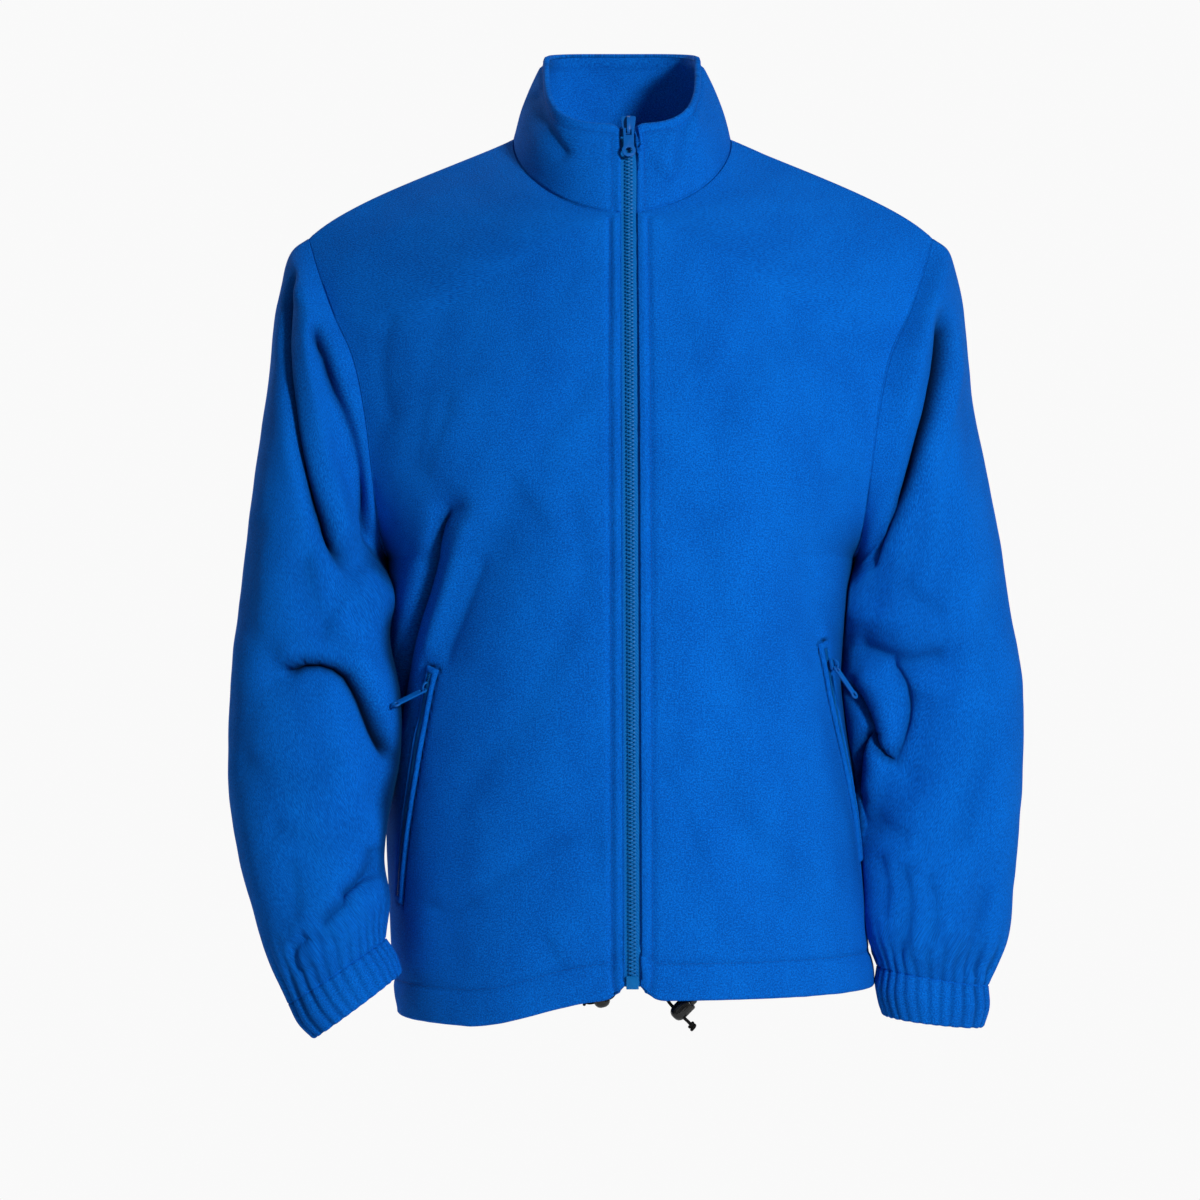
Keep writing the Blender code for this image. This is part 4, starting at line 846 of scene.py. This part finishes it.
def through_rings(stations, shares):
    """Rings on the smooth surface through some rings, at these shares of the way along them."""
    steps = np.linalg.norm(np.diff(stations, axis=0), axis=2).mean(axis=1)
    place = np.concatenate([[0], np.cumsum(steps)])
    table = np.column_stack([place, stations.reshape(len(stations), -1)])
    return smooth(table, shares * place[-1]).reshape(len(shares), -1, 3)


def gathered(piece, from_seam, depth):
    """Draws a sleeve or cuff into the small uneven pleats that the cuff's elastic makes, and paints shade in
    their valleys.
    """
    angle = np.linspace(0, 2 * math.pi, AROUND_SLEEVE, endpoint=False)
    turn = CUFF_PLEATS * angle + 1.8 * np.sin(3 * angle) + 1.1 * np.sin(5 * angle + from_seam[:, None] * 25)
    valley = (0.5 - 0.5 * np.sin(turn)) ** 2.5 * (0.7 + 0.3 * np.sin(2 * angle + 1))
    depth = depth[:, None]
    piece.points = piece.points - facing(piece) * (valley * depth)[..., None]
    # Painted shade in the pleats' valleys.
    paint_shade(piece, PLEAT_SHADE * valley * depth / depth.max())


def clear_of_body(points, side):
    """Moves what hangs below the armpit out to a small gap from the body."""
    body = surface([panels[side].seams[: ARMPIT_ROW + 1 : 2, ::2] for panels in (fronts, backs)])
    points = points.copy()
    for j, row in enumerate(points):
        least = SLEEVE_CLEAR * min(1, j / 12)
        for i in np.flatnonzero(row[:, 2] < ARMPIT_Z + 0.002) if j else ():
            spot, out, _, _ = body.find_nearest(row[i].tolist())
            out = np.array(out) * (1 if out.x * (spot.x - zip_x(spot.z)) + out.y * spot.y > 0 else -1)
            off = (row[i] - spot) @ out
            if off < least:
                row[i] += out * (least - off)
    return points


def snug(points, side):
    """Draws the inner side of a sleeve against the body just below the armpit."""
    middle, half = points[..., :1].mean(axis=1), np.ptp(points[..., 0], axis=1)[:, None] / 2
    inner = np.clip((middle - points[..., 0]) * side / half - 0.25, 0, 1)
    close = SLEEVE_LEAN * np.exp(-(((points[..., 2] - ARMPIT_Z + 0.028) / 0.024) ** 2)) * inner
    return points - np.stack([close * side, 0 * close, 0 * close], axis=-1)


for side, word in ((1, "left"), (-1, "right")):
    loop, beside_loop, loop_out = (
        np.vstack([front[: ARMPIT_ROW - 1 : -1, column], back[ARMPIT_ROW + 1 : -1, column]])
        for front, back, column in (
            (fronts[side].seams, backs[side].seams, -1),
            (fronts[side].seams, backs[side].seams, -2),
            (fronts[side].out, backs[side].out, -1),
        )
    )
    rings, head = hoops(SLEEVE_RINGS[side]), len(SLEEVE_HEAD)
    like_armhole = loop - loop.mean(axis=0) + rings[:head].mean(axis=1, keepdims=True)
    outer = 0.5 + 0.5 * np.cos(np.linspace(0, 2 * math.pi, AROUND_SLEEVE, endpoint=False))
    rings[:head] += (like_armhole - rings[:head]) * np.outer(SLEEVE_HEAD, outer)[..., None]
    s = np.linspace(0, 1, SLEEVE_ROWS + 1)
    points = through_rings(np.concatenate([loop[None], rings]), closer_at_ends(s, 0.55))
    sleeve = piece_of(clear_of_body(snug(points, side), side), side, around=True)
    mean_up = sleeve.up.mean(axis=1)
    from_cuff = mean_up[-1] - mean_up
    fade = ease((sleeve.up - 0.004) / FOLD_FADE) * ease(from_cuff / 0.012)[:, None]
    before = SLEEVE_CREASES[side], SLEEVE_FOLDS[side]
    tables = SLEEVE_BACK_CREASES, SLEEVE_BACK_FOLDS
    behind = [[(*size, route * (side, 1)) for *size, route in table] for table in tables]
    draw_in(sleeve, before[1], -1, fade)
    draw_in(sleeve, behind[1], 1, fade)
    crease(sleeve, *before, -1, fade)
    crease(sleeve, *behind, 1, fade)
    # Painted shade where the sleeve faces the body.
    facing_body = ease((0.45 - np.abs(sleeve.out[..., 1])) / 0.35) * (sleeve.out[..., 0] * side < 0)
    paint_flank_shade(sleeve, side, facing_body)
    uneven = 0.0013 * lumps(sleeve, 0.050, 4 * side) + 0.0005 * lumps(sleeve, 0.020, 7)
    sink(sleeve, uneven * fade)
    gathered(sleeve, from_cuff, PLEAT_DEPTH * np.exp(-((from_cuff / PLEAT_REACH) ** 2)))
    moved = clear_of_body(sleeve.points, side)
    sleeve.points = np.where(from_cuff[:, None, None] > 0.012, moved, sleeve.points)
    tube = shell(f"sleeve_tube_{word}", [sleeve], FLEECE_BLUE)
    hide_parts(f"sleeve_{word}")
    down = unit(sleeve.points[-1] - sleeve.points[-3])
    allowance(f"cuff_allowance_{word}", sleeve.points[-1], -down, down, facing(sleeve)[-1], side, True)
    ways = unit(beside_loop - loop), unit(sleeve.seams[1] - loop)
    allowance(f"armhole_allowance_{word}", loop, *ways, unit(loop_out + sleeve.out[0]), side, True)

# ---------------------------------------------------------------------------------------------------------
# Cuffs. A doubled band of fleece about 34 mm deep, drawn in by the elastic that it is stitched over.

CUFF_WALL, CUFF_ROWS = 0.0042, 14
# Stations from the seam down: outer x and z, inner x and z, middle y, half depth.
CUFF_RINGS[1] = metres(
    (295.5, -674, 206.5, -659, -14, 36), (296.5, -690, 204.5, -677, -14, 37.5),
    (291.5, -708, 211, -699, -14, 33.5),
)
CUFF_RINGS[-1] = metres(
    (-256.1, -681.2, -179.9, -630.7, -80, 36), (-248, -697, -171.5, -643.5, -80, 37.5),
    (-235.9, -709.2, -166.7, -657.9, -80, 33.5),
)

for side, word in ((1, "left"), (-1, "right")):
    points = through_rings(hoops(CUFF_RINGS[side]), np.linspace(0, 1, CUFF_ROWS + 1))
    cuff = piece_of(clear_of_body(points, side), side, CUFF_WALL, around=True)
    cuff.lip[-1] = BAND_LIP * 0.9
    from_seam = cuff.up.mean(axis=1)
    gathered(cuff, -from_seam, PLEAT_DEPTH * (1 - 0.3 * from_seam / from_seam[-1]))
    tube = shell(f"cuff_band_{word}", [cuff], FLEECE_BLUE)
    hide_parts(f"cuff_{word}")

# ---------------------------------------------------------------------------------------------------------
# Collar. A doubled stand of fleece, 5 mm thick, sewn to the neck edge and top-stitched along its upper
# edge and beside the zip.

COLLAR_WALL, COLLAR_ROWS, COLLAR_BULGE = 0.0050, 26, 0.0035
COLLAR_TOP_FULLNESS = 3.4
COLLAR_TOP = (0.0600, 0.075, 0.066, 0.068, 0.850, 0.180)
COLLAR_CORNER = (0.0045, 0.0040)  # how far from the zip, and how much, its upper front corners fall away
COLLAR_STITCH = (0.0075, 0.0085)  # its rows of stitches: from the front edge and from the upper edge
COLLAR_FOLDS = routed(
    (7, 3.4, -66, 40, -60, 18, -50, -4, -36, -26),
    (5, -2.2, 62, 20, 61, 0, 58, -16),
    (7, -2.4, 44, 0, 42, -24, 40, -44),
    (6, 2.4, 52, 12, 50, -12, 46, -34),
    (7, 2, 20, -22, 30, -36, 46, -46),
)

neck = [fronts[1].seams[-FRONT_NECK_ROWS - 1 :, 0], backs[1].seams[-2 : -BACK_NECK_ROWS - 2 : -1, 0]]
neck += [backs[-1].seams[-BACK_NECK_ROWS:, 0], fronts[-1].seams[-2 : -FRONT_NECK_ROWS - 2 : -1, 0]]
seam = np.vstack(neck)
angle = np.arctan2(seam[:, 0] - NECK_MIDDLE, -seam[:, 1])
top = neck_ring(COLLAR_TOP, angle, COLLAR_TOP_FULLNESS)
top[0, 0], top[-1, 0] = zip_x(0) + ZIP_HALF_GAP, zip_x(0) - ZIP_HALF_GAP
up = np.linspace(0, 1, COLLAR_ROWS + 1)[:, None, None]
outwards = np.column_stack([np.sin(angle), -np.cos(angle), 0 * angle])
from_zip = np.minimum(along(top), along(top)[-1] - along(top))
top[:, 2] -= COLLAR_CORNER[1] * np.exp(-((from_zip / COLLAR_CORNER[0]) ** 2))
collar = piece_of(seam + (top - seam) * up + COLLAR_BULGE * np.sin(math.pi * up) * outwards, 1, COLLAR_WALL)
collar.lip[1:] = BAND_LIP
collar.lip[:, [0, -1]] = 0.0012
crease(collar, (), COLLAR_FOLDS, -1, ease(collar.from_edge / 0.014))
sink(collar, 0.0008 * lumps(collar, 0.030, 9) * ease(collar.from_edge / 0.010))
from_front = np.minimum(collar.across, collar.across[:, -1:] - collar.across)
from_top = collar.up[-1:] - collar.up
inner_line = np.maximum(COLLAR_STITCH[0] - from_front, COLLAR_STITCH[1] - from_top)
sink(collar, groove(inner_line, 0.0020, 0.0015) - groove(inner_line - 0.0045, 0.0032, 0.0008))
# Painted shade along the collar's row of stitches.
paint_shade(collar, groove(inner_line, SHADE_WIDTH, STITCH_SHADE))
stand = shell("collar_stand", [collar], FLEECE_BLUE)
allowance("neck_allowance", seam, unit(seam - top), unit(top - seam), collar.out[0], 1)
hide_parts("collar")

# ---------------------------------------------------------------------------------------------------------
# Top-stitching. Polyester thread in small stitches sunk in the cloth: beside the zip, above the hem's casing
# and round the collar.

STITCH_PITCH, STITCH_HALF_LENGTH, THREAD_RADIUS = 0.0032, 0.0012, 0.00028


def frame_at(origin, up, out):
    """A frame whose y runs up and whose z points out."""
    out = unit(np.asarray(out, float))
    up = unit(up - out * (up @ out))
    return Matrix(np.vstack([np.column_stack([np.cross(up, out), up, out, origin]), (0, 0, 0, 1)]).tolist())


def crossing(points, field, value):
    """Where rows of points cross a value of a field that grows along them."""
    return np.array([between(row, at, value) for at, row in zip(field, points)])


def stitching(name, lines):
    """Stitches along each line."""
    bm = bmesh.new()
    for line in lines:
        count = round(along(line)[-1] / STITCH_PITCH)
        spots = evenly(line, 2 * count)
        for before, spot, after in zip(spots[:-2:2], spots[1:-1:2], spots[2::2]):
            turn = frame_at(spot, np.cross(after - before, (1, 0.3, 0.2)), after - before)
            size = Matrix.Diagonal((THREAD_RADIUS, THREAD_RADIUS, STITCH_HALF_LENGTH, 1))
            bmesh.ops.create_uvsphere(bm, u_segments=6, v_segments=4, radius=1, matrix=turn @ size)
    return settled(name, bm, THREAD_BLUE, "jacket")


thread = Finish("thread_blue", Base_Color=(0.001, 0.075, 0.380, 1), Roughness=0.6, Specular_IOR_Level=0.10)
lay = thread.noise(thread.place((900, 900, 900), uv=False), 1, 2)
thread.drive(Roughness=0.45 + lay * 0.3, Normal=thread.bump(lay, 0.0001, 0.6))
THREAD_BLUE = thread.material

for side, word in ((1, "left"), (-1, "right")):
    front, back = fronts[side], backs[side]
    beside_zip = crossing(front.points, front.across, ZIP_STITCH)[2:-FRONT_NECK_ROWS]
    hems = [crossing(panel.points.swapaxes(0, 1), panel.up.T, HEM_CASING) for panel in (front, back)]
    stitching(f"stitches_front_{word}", [beside_zip, hems[0][4:]])
    stitching(f"stitches_back_{word}", [hems[1]])
inset, drop = COLLAR_STITCH
up_left = crossing(collar.points, collar.across, inset)
up_right = crossing(collar.points[:, ::-1], collar.across[:, -1:] - collar.across[:, ::-1], inset)
level = crossing(collar.points[::-1].swapaxes(0, 1), from_top[::-1].T, drop)
below, within = from_top[:, 0] > drop + 0.001, from_front[-1] > inset + 0.001
stitching("stitches_collar", [np.vstack([up_left[below], level[within], up_right[below][::-1]])])

# ---------------------------------------------------------------------------------------------------------
# Front zip. Woven tapes stitched into the front edges, moulded teeth on both, the box at the hem, and an
# enamelled slider with its pull.

TAPE_ACROSS = (0.0004, 0.0030, 0.0050, 0.0066, 0.0082)
TAPE_DEPTHS = (0.0010, 0.0010, 0.0012, 0.0013, 0.0014)  # its last column lies inside the fleece
TOOTH_PITCH, TOOTH_ROOT, TOOTH_TIP = 0.0030, 0.0030, -0.0010
TOOTH_HEIGHTS = (0.0021, 0.0012)
TOOTH_OUT, TOOTH_IN, TOOTH_BEVEL = 0.0009, 0.0011, 0.00030
BOX_LENGTH, CHAIN_FROM_TOP = 0.0103, 0.0015


def woven(name, colour, pale):
    """A close diagonal weave."""
    finish = Finish(name, Roughness=0.7, Specular_IOR_Level=0.08)
    bands = {"Vector": finish.place((1, 1, 0)), "Scale": 260.0, "Distortion": 0.6}
    ribs = finish.node("ShaderNodeTexWave", {"bands_direction": "DIAGONAL"}, bands, 1)
    wear = finish.noise(finish.place((420, 160, 1)), 1, 2)
    finish.drive(
        Base_Color=finish.mix(ribs * 0.6 + wear * 0.4, colour, pale),
        Roughness=0.6 + wear * 0.25,
        Normal=finish.bump(ribs, 0.00025, 0.7),
    )
    return finish.material


def enamel(name, colour, worn, gloss, rough=0.24):
    """Hard enamel or plastic with faint unevenness and small scuffs."""
    finish = Finish(name, Roughness=0.35, Specular_IOR_Level=gloss)
    place = finish.place((1, 1, 1), uv=False)
    cloud, scuffs = finish.noise(place, 160, 3), finish.noise(place, 900, 2, 0.7)
    finish.drive(
        Base_Color=finish.mix(cloud, colour, worn),
        Roughness=rough + scuffs * 0.28,
        Normal=finish.bump(scuffs, 0.00008, 0.5),
    )
    return finish.material


def refined(node, look, body, bevel):
    """The solid of a CAD node with its edges rounded."""
    shape = bmesh.new()
    shape.from_mesh(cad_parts[node].data)
    bmesh.ops.remove_doubles(shape, verts=shape.verts, dist=0.00001)
    bmesh.ops.dissolve_limit(shape, angle_limit=math.radians(1), verts=shape.verts, edges=shape.edges)
    thing = settled(f"{node}_finished", shape, look, body)
    rounding = thing.modifiers.new("rounded edges", "BEVEL")
    rounding.width, rounding.segments, rounding.angle_limit = bevel, 3, math.radians(35)
    rounding.harden_normals = True
    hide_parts(node)
    return thing


ZIP_TAPE = woven("zip_tape_teal", (0.001, 0.100, 0.380), (0.002, 0.150, 0.480))
ZIP_TEETH = enamel("zip_teeth_teal", (0.001, 0.100, 0.350), (0.002, 0.140, 0.440), 0.15)
ZIP_ENAMEL = enamel("zip_enamel_blue", (0.001, 0.080, 0.360), (0.002, 0.115, 0.450), 0.25)

edges = [fronts[side].seams[:-FRONT_NECK_ROWS, 0] for side in (1, -1)]
zip_line = np.vstack([sum(edges) / 2, (collar.seams[1:, 0] + collar.seams[1:, -1]) / 2])
place = along(zip_line)
zip_rows = np.linspace(0, place[-1], 240)
zip_path = smooth(np.column_stack([place, zip_line]), zip_rows)
zip_up = unit(np.gradient(zip_path, axis=0))
zip_out = unit(np.cross((1, 0, 0), zip_up))
for side, word in ((1, "left"), (-1, "right")):
    across = np.outer(side * np.array(TAPE_ACROSS), (1, 0, 0))
    points = zip_path[:, None] + across - zip_out[:, None] * np.array(TAPE_DEPTHS)[:, None]
    tape = shell(f"zip_tape_woven_{word}", [piece_of(points, side, 0.0007)], ZIP_TAPE)
    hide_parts(f"zip_tape_{word}")

teeth = bmesh.new()
for side in (1, -1):
    for at in np.arange(BOX_LENGTH + (side - 2) * TOOTH_PITCH / 4, place[-1] - CHAIN_FROM_TOP, TOOTH_PITCH):
        spot, up, out = (between(run, zip_rows, at) for run in (zip_path, zip_up, zip_out))
        corners = bmesh.ops.create_cube(teeth, size=2)["verts"]
        for corner in corners:
            x, y, z = corner.co
            reach = TOOTH_ROOT if x > 0 else TOOTH_TIP
            high = TOOTH_HEIGHTS[0 if x > 0 else 1] / 2
            level = TOOTH_OUT if z > 0 else -TOOTH_IN
            corner.co = spot + np.array((side * reach, 0, 0)) + up * y * high + out * level
        if side < 0:
            turn_over(teeth, corners)
bevel = dict(offset=TOOTH_BEVEL, segments=1, affect="EDGES", profile=0.5, material=-1)
bmesh.ops.bevel(teeth, geom=teeth.edges[:], **bevel)
chain = settled("zip_teeth", teeth, ZIP_TEETH, "jacket")
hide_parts("zip_chain")
refined("zip_box", ZIP_TEETH, "jacket", 0.0004)
refined("zip_slider", ZIP_ENAMEL, "jacket", 0.00045)
refined("zip_pull", ZIP_ENAMEL, "front_pull", 0.0004)

# ---------------------------------------------------------------------------------------------------------
# Pockets. Two welts of folded fleece in one ring round the slit, a small coil zip between them, and its
# slider and pull.

SLOT_HALF_WIDTH, WELT_END = 0.0021, 0.0060
# Across a welt, from its outer edge into the slit: share of the way, and height over the front.
WELT_SECTION = (
    (0.00, 0.0003), (0.10, 0.0014), (0.28, 0.0022), (0.50, 0.0025),
    (0.72, 0.0022), (0.90, 0.0014), (1.00, 0.0004), (1.00, -0.0010),
)
WELT_STEPS, WELT_TURN = 60, 10  # along the opening, and round one of its ends
WELT_SLOT_SHADE = (0.3, 0.8, 1.0)  # how dark the painted shade on its last rings is, inside the slit
COIL_PITCH, COIL_LIFT, COIL_SIZE = 0.0014, 0.0014, (0.0016, 0.00045, 0.00050)


def laid(cloth, line, share, across, lift):
    """A point of the cloth beside an opening's middle line, moved out."""
    spot, out, run = (between(values, np.linspace(0, 1, len(values)), share) for values in line)
    out = unit(out)
    start = spot + unit(np.cross(out, run)) * across
    hit = cloth.ray_cast((start + out * 0.03).tolist(), (-out).tolist())[0]
    return np.array(hit if hit else start) + out * lift


for side, word in ((1, "left"), (-1, "right")):
    front, name = fronts[side], f"pocket_{word}"
    middle, facing_out = opening(front, side)
    opened = surface([front.points]), (middle, facing_out, np.gradient(middle, axis=0))
    length = along(middle)[-1]
    rings = []
    for inward, lift in WELT_SECTION:
        half = WELT_HALF_WIDTH + (SLOT_HALF_WIDTH - WELT_HALF_WIDTH) * inward
        end = inward * WELT_END / length
        down = [(share, 1) for share in np.linspace(end, 1 - end, WELT_STEPS)]
        turn = [(1 - end, x) for x in np.linspace(1, -1, WELT_TURN)[1:-1]]
        ring = down + turn + [(share, -1) for share, _ in down[::-1]] + [(1 - share, -x) for share, x in turn]
        rings.append([laid(*opened, share, x * half, lift) for share, x in ring])
    band = piece_of(np.array(rings), -1, 0.0009, around=True)
    # Painted shade on the welts' inner rings, inside the slit.
    band.fold[-3:] = np.array(WELT_SLOT_SHADE)[:, None]
    welt = shell(f"{name}_welts", [band], FLEECE_BLUE)
    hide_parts(f"{name}_welt")

    coil = bmesh.new()
    count = round((length - 2 * WELT_END) / COIL_PITCH)
    for share in np.linspace(WELT_END / length, 1 - WELT_END / length, count):
        before, spot, after = (laid(*opened, share + shift, 0, COIL_LIFT) for shift in (-0.01, 0, 0.01))
        out = unit(between(facing_out, np.linspace(0, 1, len(middle)), share))
        matrix = frame_at(spot, before - after, out) @ Matrix.Diagonal((*COIL_SIZE, 1))
        bmesh.ops.create_uvsphere(coil, u_segments=8, v_segments=6, radius=1, matrix=matrix)
    zip_coil = settled(f"{name}_coil", coil, ZIP_TEETH, "jacket")
    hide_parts(f"{name}_zip")
    refined(f"{name}_slider", ZIP_ENAMEL, "jacket", 0.0003)
    refined(f"{name}_pull", ZIP_ENAMEL, f"{word}_pocket_pull", 0.0003)

# ---------------------------------------------------------------------------------------------------------
# Drawcords and cord locks. The round elastic cord in the hem comes out beside the zip, goes through a lock of
# black plastic with a sprung button, and ends in a knot.

CORD_DIAMETER, CORD_WALL, CORD_STEPS = 0.0026, 0.0011, 60
KNOT_RADIUS, KNOT_LENGTH, KNOT_TURNS = 0.0019, 0.0042, 1.6
# Profiles as radius and height in millimetres, along the way that the button points.
BARREL = (
    (0, -9.6), (2.6, -9.4), (4.4, -8.5), (5.6, -7.0), (6.3, -5.0), (6.5, -2.8),
    (6.5, 6.9), (6.3, 7.6), (5.7, 8.0), (5.1, 7.8), (4.9, 7.2), (4.9, 0.5),
)
BUTTON = ((4.5, 1.0), (4.5, 11.2), (4.25, 12.0), (3.6, 12.6), (2.4, 12.8), (0, 12.8))
GRIPS, GRIP_DEPTH, GRIP_RADIUS = 18, 0.00022, 0.0060
CORD_LOCKS = {
    1: dict(
        middle=(0.0495, -0.1145, -0.6815),
        button=(0.70, 0.0, 0.71),
        cord=(
            (0.0338, -0.1222, -0.6600), (0.0343, -0.1208, -0.6624), (0.0347, -0.1194, -0.6648),
            (0.0351, -0.1181, -0.6672), (0.0358, -0.1169, -0.6696), (0.0367, -0.1159, -0.6719),
            (0.0379, -0.1152, -0.6743), (0.0395, -0.1147, -0.6768), (0.0416, -0.1145, -0.6793),
            (0.0441, -0.1145, -0.6818), (0.0467, -0.1145, -0.6843), (0.0493, -0.1145, -0.6869),
            (0.0518, -0.1145, -0.6894), (0.0543, -0.1144, -0.6918), (0.0566, -0.1142, -0.6943),
            (0.0586, -0.1140, -0.6970),
        ),
    ),
    -1: dict(
        middle=(-0.0132, -0.1150, -0.6712),
        button=(-0.25, 0.0, 0.97),
        cord=(
            (-0.0034, -0.1230, -0.6590), (-0.0028, -0.1216, -0.6613), (-0.0022, -0.1201, -0.6636),
            (-0.0019, -0.1186, -0.6659), (-0.0021, -0.1172, -0.6682), (-0.0029, -0.1160, -0.6704),
            (-0.0043, -0.1152, -0.6723), (-0.0063, -0.1150, -0.6735), (-0.0092, -0.1150, -0.6743),
            (-0.0122, -0.1150, -0.6751), (-0.0155, -0.1150, -0.6760), (-0.0190, -0.1150, -0.6768),
            (-0.0222, -0.1149, -0.6771), (-0.0251, -0.1147, -0.6762), (-0.0273, -0.1145, -0.6741),
        ),
    ),
}


def turned(profile, matrix):
    """A shape turned from a profile in millimetres."""
    bm = bmesh.new()
    spots = [bm.verts.new((radius / 1000, 0, height / 1000)) for radius, height in profile]
    lines = [bm.edges.new(pair) for pair in zip(spots[:-1], spots[1:])]
    whole_turn = dict(cent=(0, 0, 0), axis=(0, 0, 1), angle=2 * math.pi, steps=48, use_merge=True)
    bmesh.ops.spin(bm, geom=spots + lines, **whole_turn)
    bmesh.ops.remove_doubles(bm, verts=bm.verts, dist=0.00001)
    bmesh.ops.recalc_face_normals(bm, faces=bm.faces)
    bmesh.ops.transform(bm, matrix=matrix, verts=bm.verts)
    return bm


def corded(name, route):
    """A cord along a route."""
    ahead = unit(np.gradient(route, axis=0))
    first = unit(np.cross(ahead, (0.1, 1, 0.2)))
    second = np.cross(ahead, first)
    angle = np.linspace(0, 2 * math.pi, 14, endpoint=False)[None, :, None]
    ring = (first[:, None] * np.cos(angle) + second[:, None] * np.sin(angle)) * (CORD_DIAMETER / 2)
    return shell(name, [piece_of(route[:, None] + ring, 1, CORD_WALL, around=True)], CORD_BLACK)


LOCK_BLACK = enamel("lock_black", (0.0020, 0.0020, 0.0024), (0.0045, 0.0045, 0.0050), 0.50, 0.12)
CORD_BLACK = woven("cord_black", (0.0020, 0.0020, 0.0024), (0.0100, 0.0100, 0.0110))

for side, word in ((1, "left"), (-1, "right")):
    lock = SimpleNamespace(**CORD_LOCKS[side])
    button = unit(np.array(lock.button))
    matrix = frame_at(np.array(lock.middle), np.cross(button, (0, 1, 0)), button)
    barrel = turned(BARREL, matrix)
    inverse = matrix.inverted()
    for spot in barrel.verts:
        local = inverse @ spot.co
        if local.xy.length > GRIP_RADIUS:
            out = (spot.co - matrix @ Vector((0, 0, local.z))).normalized()
            spot.co += out * GRIP_DEPTH * math.cos(GRIPS * math.atan2(local.y, local.x))
    thing = settled(f"cord_lock_{word}_barrel", barrel, LOCK_BLACK, "jacket")
    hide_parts(f"cord_lock_{word}")
    press = turned(BUTTON, matrix)
    press = settled(f"cord_lock_{word}_press", press, LOCK_BLACK, f"{word}_lock_button")
    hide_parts(f"cord_lock_{word}_button")

    route = evenly(lock.cord, CORD_STEPS)
    cord = corded(f"drawcord_{word}_cord", route)
    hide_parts(f"drawcord_{word}")
    ahead = unit(route[-1] - route[-6])
    aside = unit(np.cross(ahead, (0, 1, 0)))
    turn = np.linspace(0, 2 * math.pi * KNOT_TURNS, 40)[:, None]
    coil = route[-4] + ahead * (turn / turn[-1] - 0.5) * KNOT_LENGTH
    coil = coil + (aside * np.cos(turn) + np.cross(ahead, aside) * np.sin(turn)) * KNOT_RADIUS
    knot = corded(f"drawcord_{word}_knot", coil)

# ---------------------------------------------------------------------------------------------------------
# Studio. A pale floor well below the hem, a large soft lamp high on the right, a weaker one on the left, and
# the camera level with the middle of the jacket, a long lens on it from the front.

CAMERA_PLACE, CAMERA_LENS = (-0.0136, -2.8, -0.368), 105
FLOOR_Z, FLOOR_RADIUS = -1.12, 1.5
AIM = Vector((0, 0, -0.36))
# Name, place, width of the lamp, power in watts, colour.
LAMPS = (
    ("key lamp", (1.55, -2.45, 0.55), 0.45, 88, (1.0, 0.99, 0.97)),
    ("fill lamp", (-1.6, -2.4, 0.0), 1.4, 6, (0.95, 0.98, 1.0)),
    ("rim lamp", (-1.2, 1.6, 1.2), 1.0, 22, (1.0, 1.0, 1.0)),
)

camera = bpy.data.objects.new("camera", bpy.data.cameras.new("camera"))
camera.data.lens, camera.data.sensor_width = CAMERA_LENS, 36
camera.location, camera.rotation_euler = CAMERA_PLACE, (math.pi / 2, 0, 0)
bpy.context.scene.collection.objects.link(camera)
bpy.context.scene.camera = camera
for name, place, size, power, colour in LAMPS:
    lamp = bpy.data.lights.new(name, "AREA")
    lamp.energy, lamp.size, lamp.color = power, size, colour
    thing = bpy.data.objects.new(name, lamp)
    thing.location = place
    thing.rotation_euler = (AIM - Vector(place)).to_track_quat("-Z", "Y").to_euler()
    bpy.context.scene.collection.objects.link(thing)

world = bpy.data.worlds.new("studio")
world.use_nodes = True
sky = world.node_tree
direction = sky.nodes.new("ShaderNodeTexCoord")
parts = sky.nodes.new("ShaderNodeSeparateXYZ")
spread = sky.nodes.new("ShaderNodeMapRange")  # a bright wall behind the jacket, a dim room before it
for number, value in ((1, 0.1), (2, 0.8), (3, 0.07), (4, 0.95)):
    spread.inputs[number].default_value = value
sky.links.new(direction.outputs["Generated"], parts.inputs[0])
sky.links.new(parts.outputs["Y"], spread.inputs[0])
sky.links.new(spread.outputs[0], sky.nodes["Background"].inputs["Strength"])
sky.nodes["Background"].inputs["Color"].default_value = (1, 1, 1, 1)
bpy.context.scene.world = world
bpy.context.scene.view_settings.view_transform = "Standard"

ground = bmesh.new()
bmesh.ops.create_circle(ground, cap_ends=True, segments=96, radius=FLOOR_RADIUS)
bmesh.ops.translate(ground, verts=ground.verts, vec=(0, 0, FLOOR_Z))
mesh = bpy.data.meshes.new("floor")
ground.to_mesh(mesh)
ground.free()
pale = Finish("pale floor", Base_Color=(0.80, 0.80, 0.80, 1), Roughness=0.7)
mesh.materials.append(pale.material)
floor = bpy.data.objects.new("floor", mesh)
bpy.context.scene.collection.objects.link(floor)
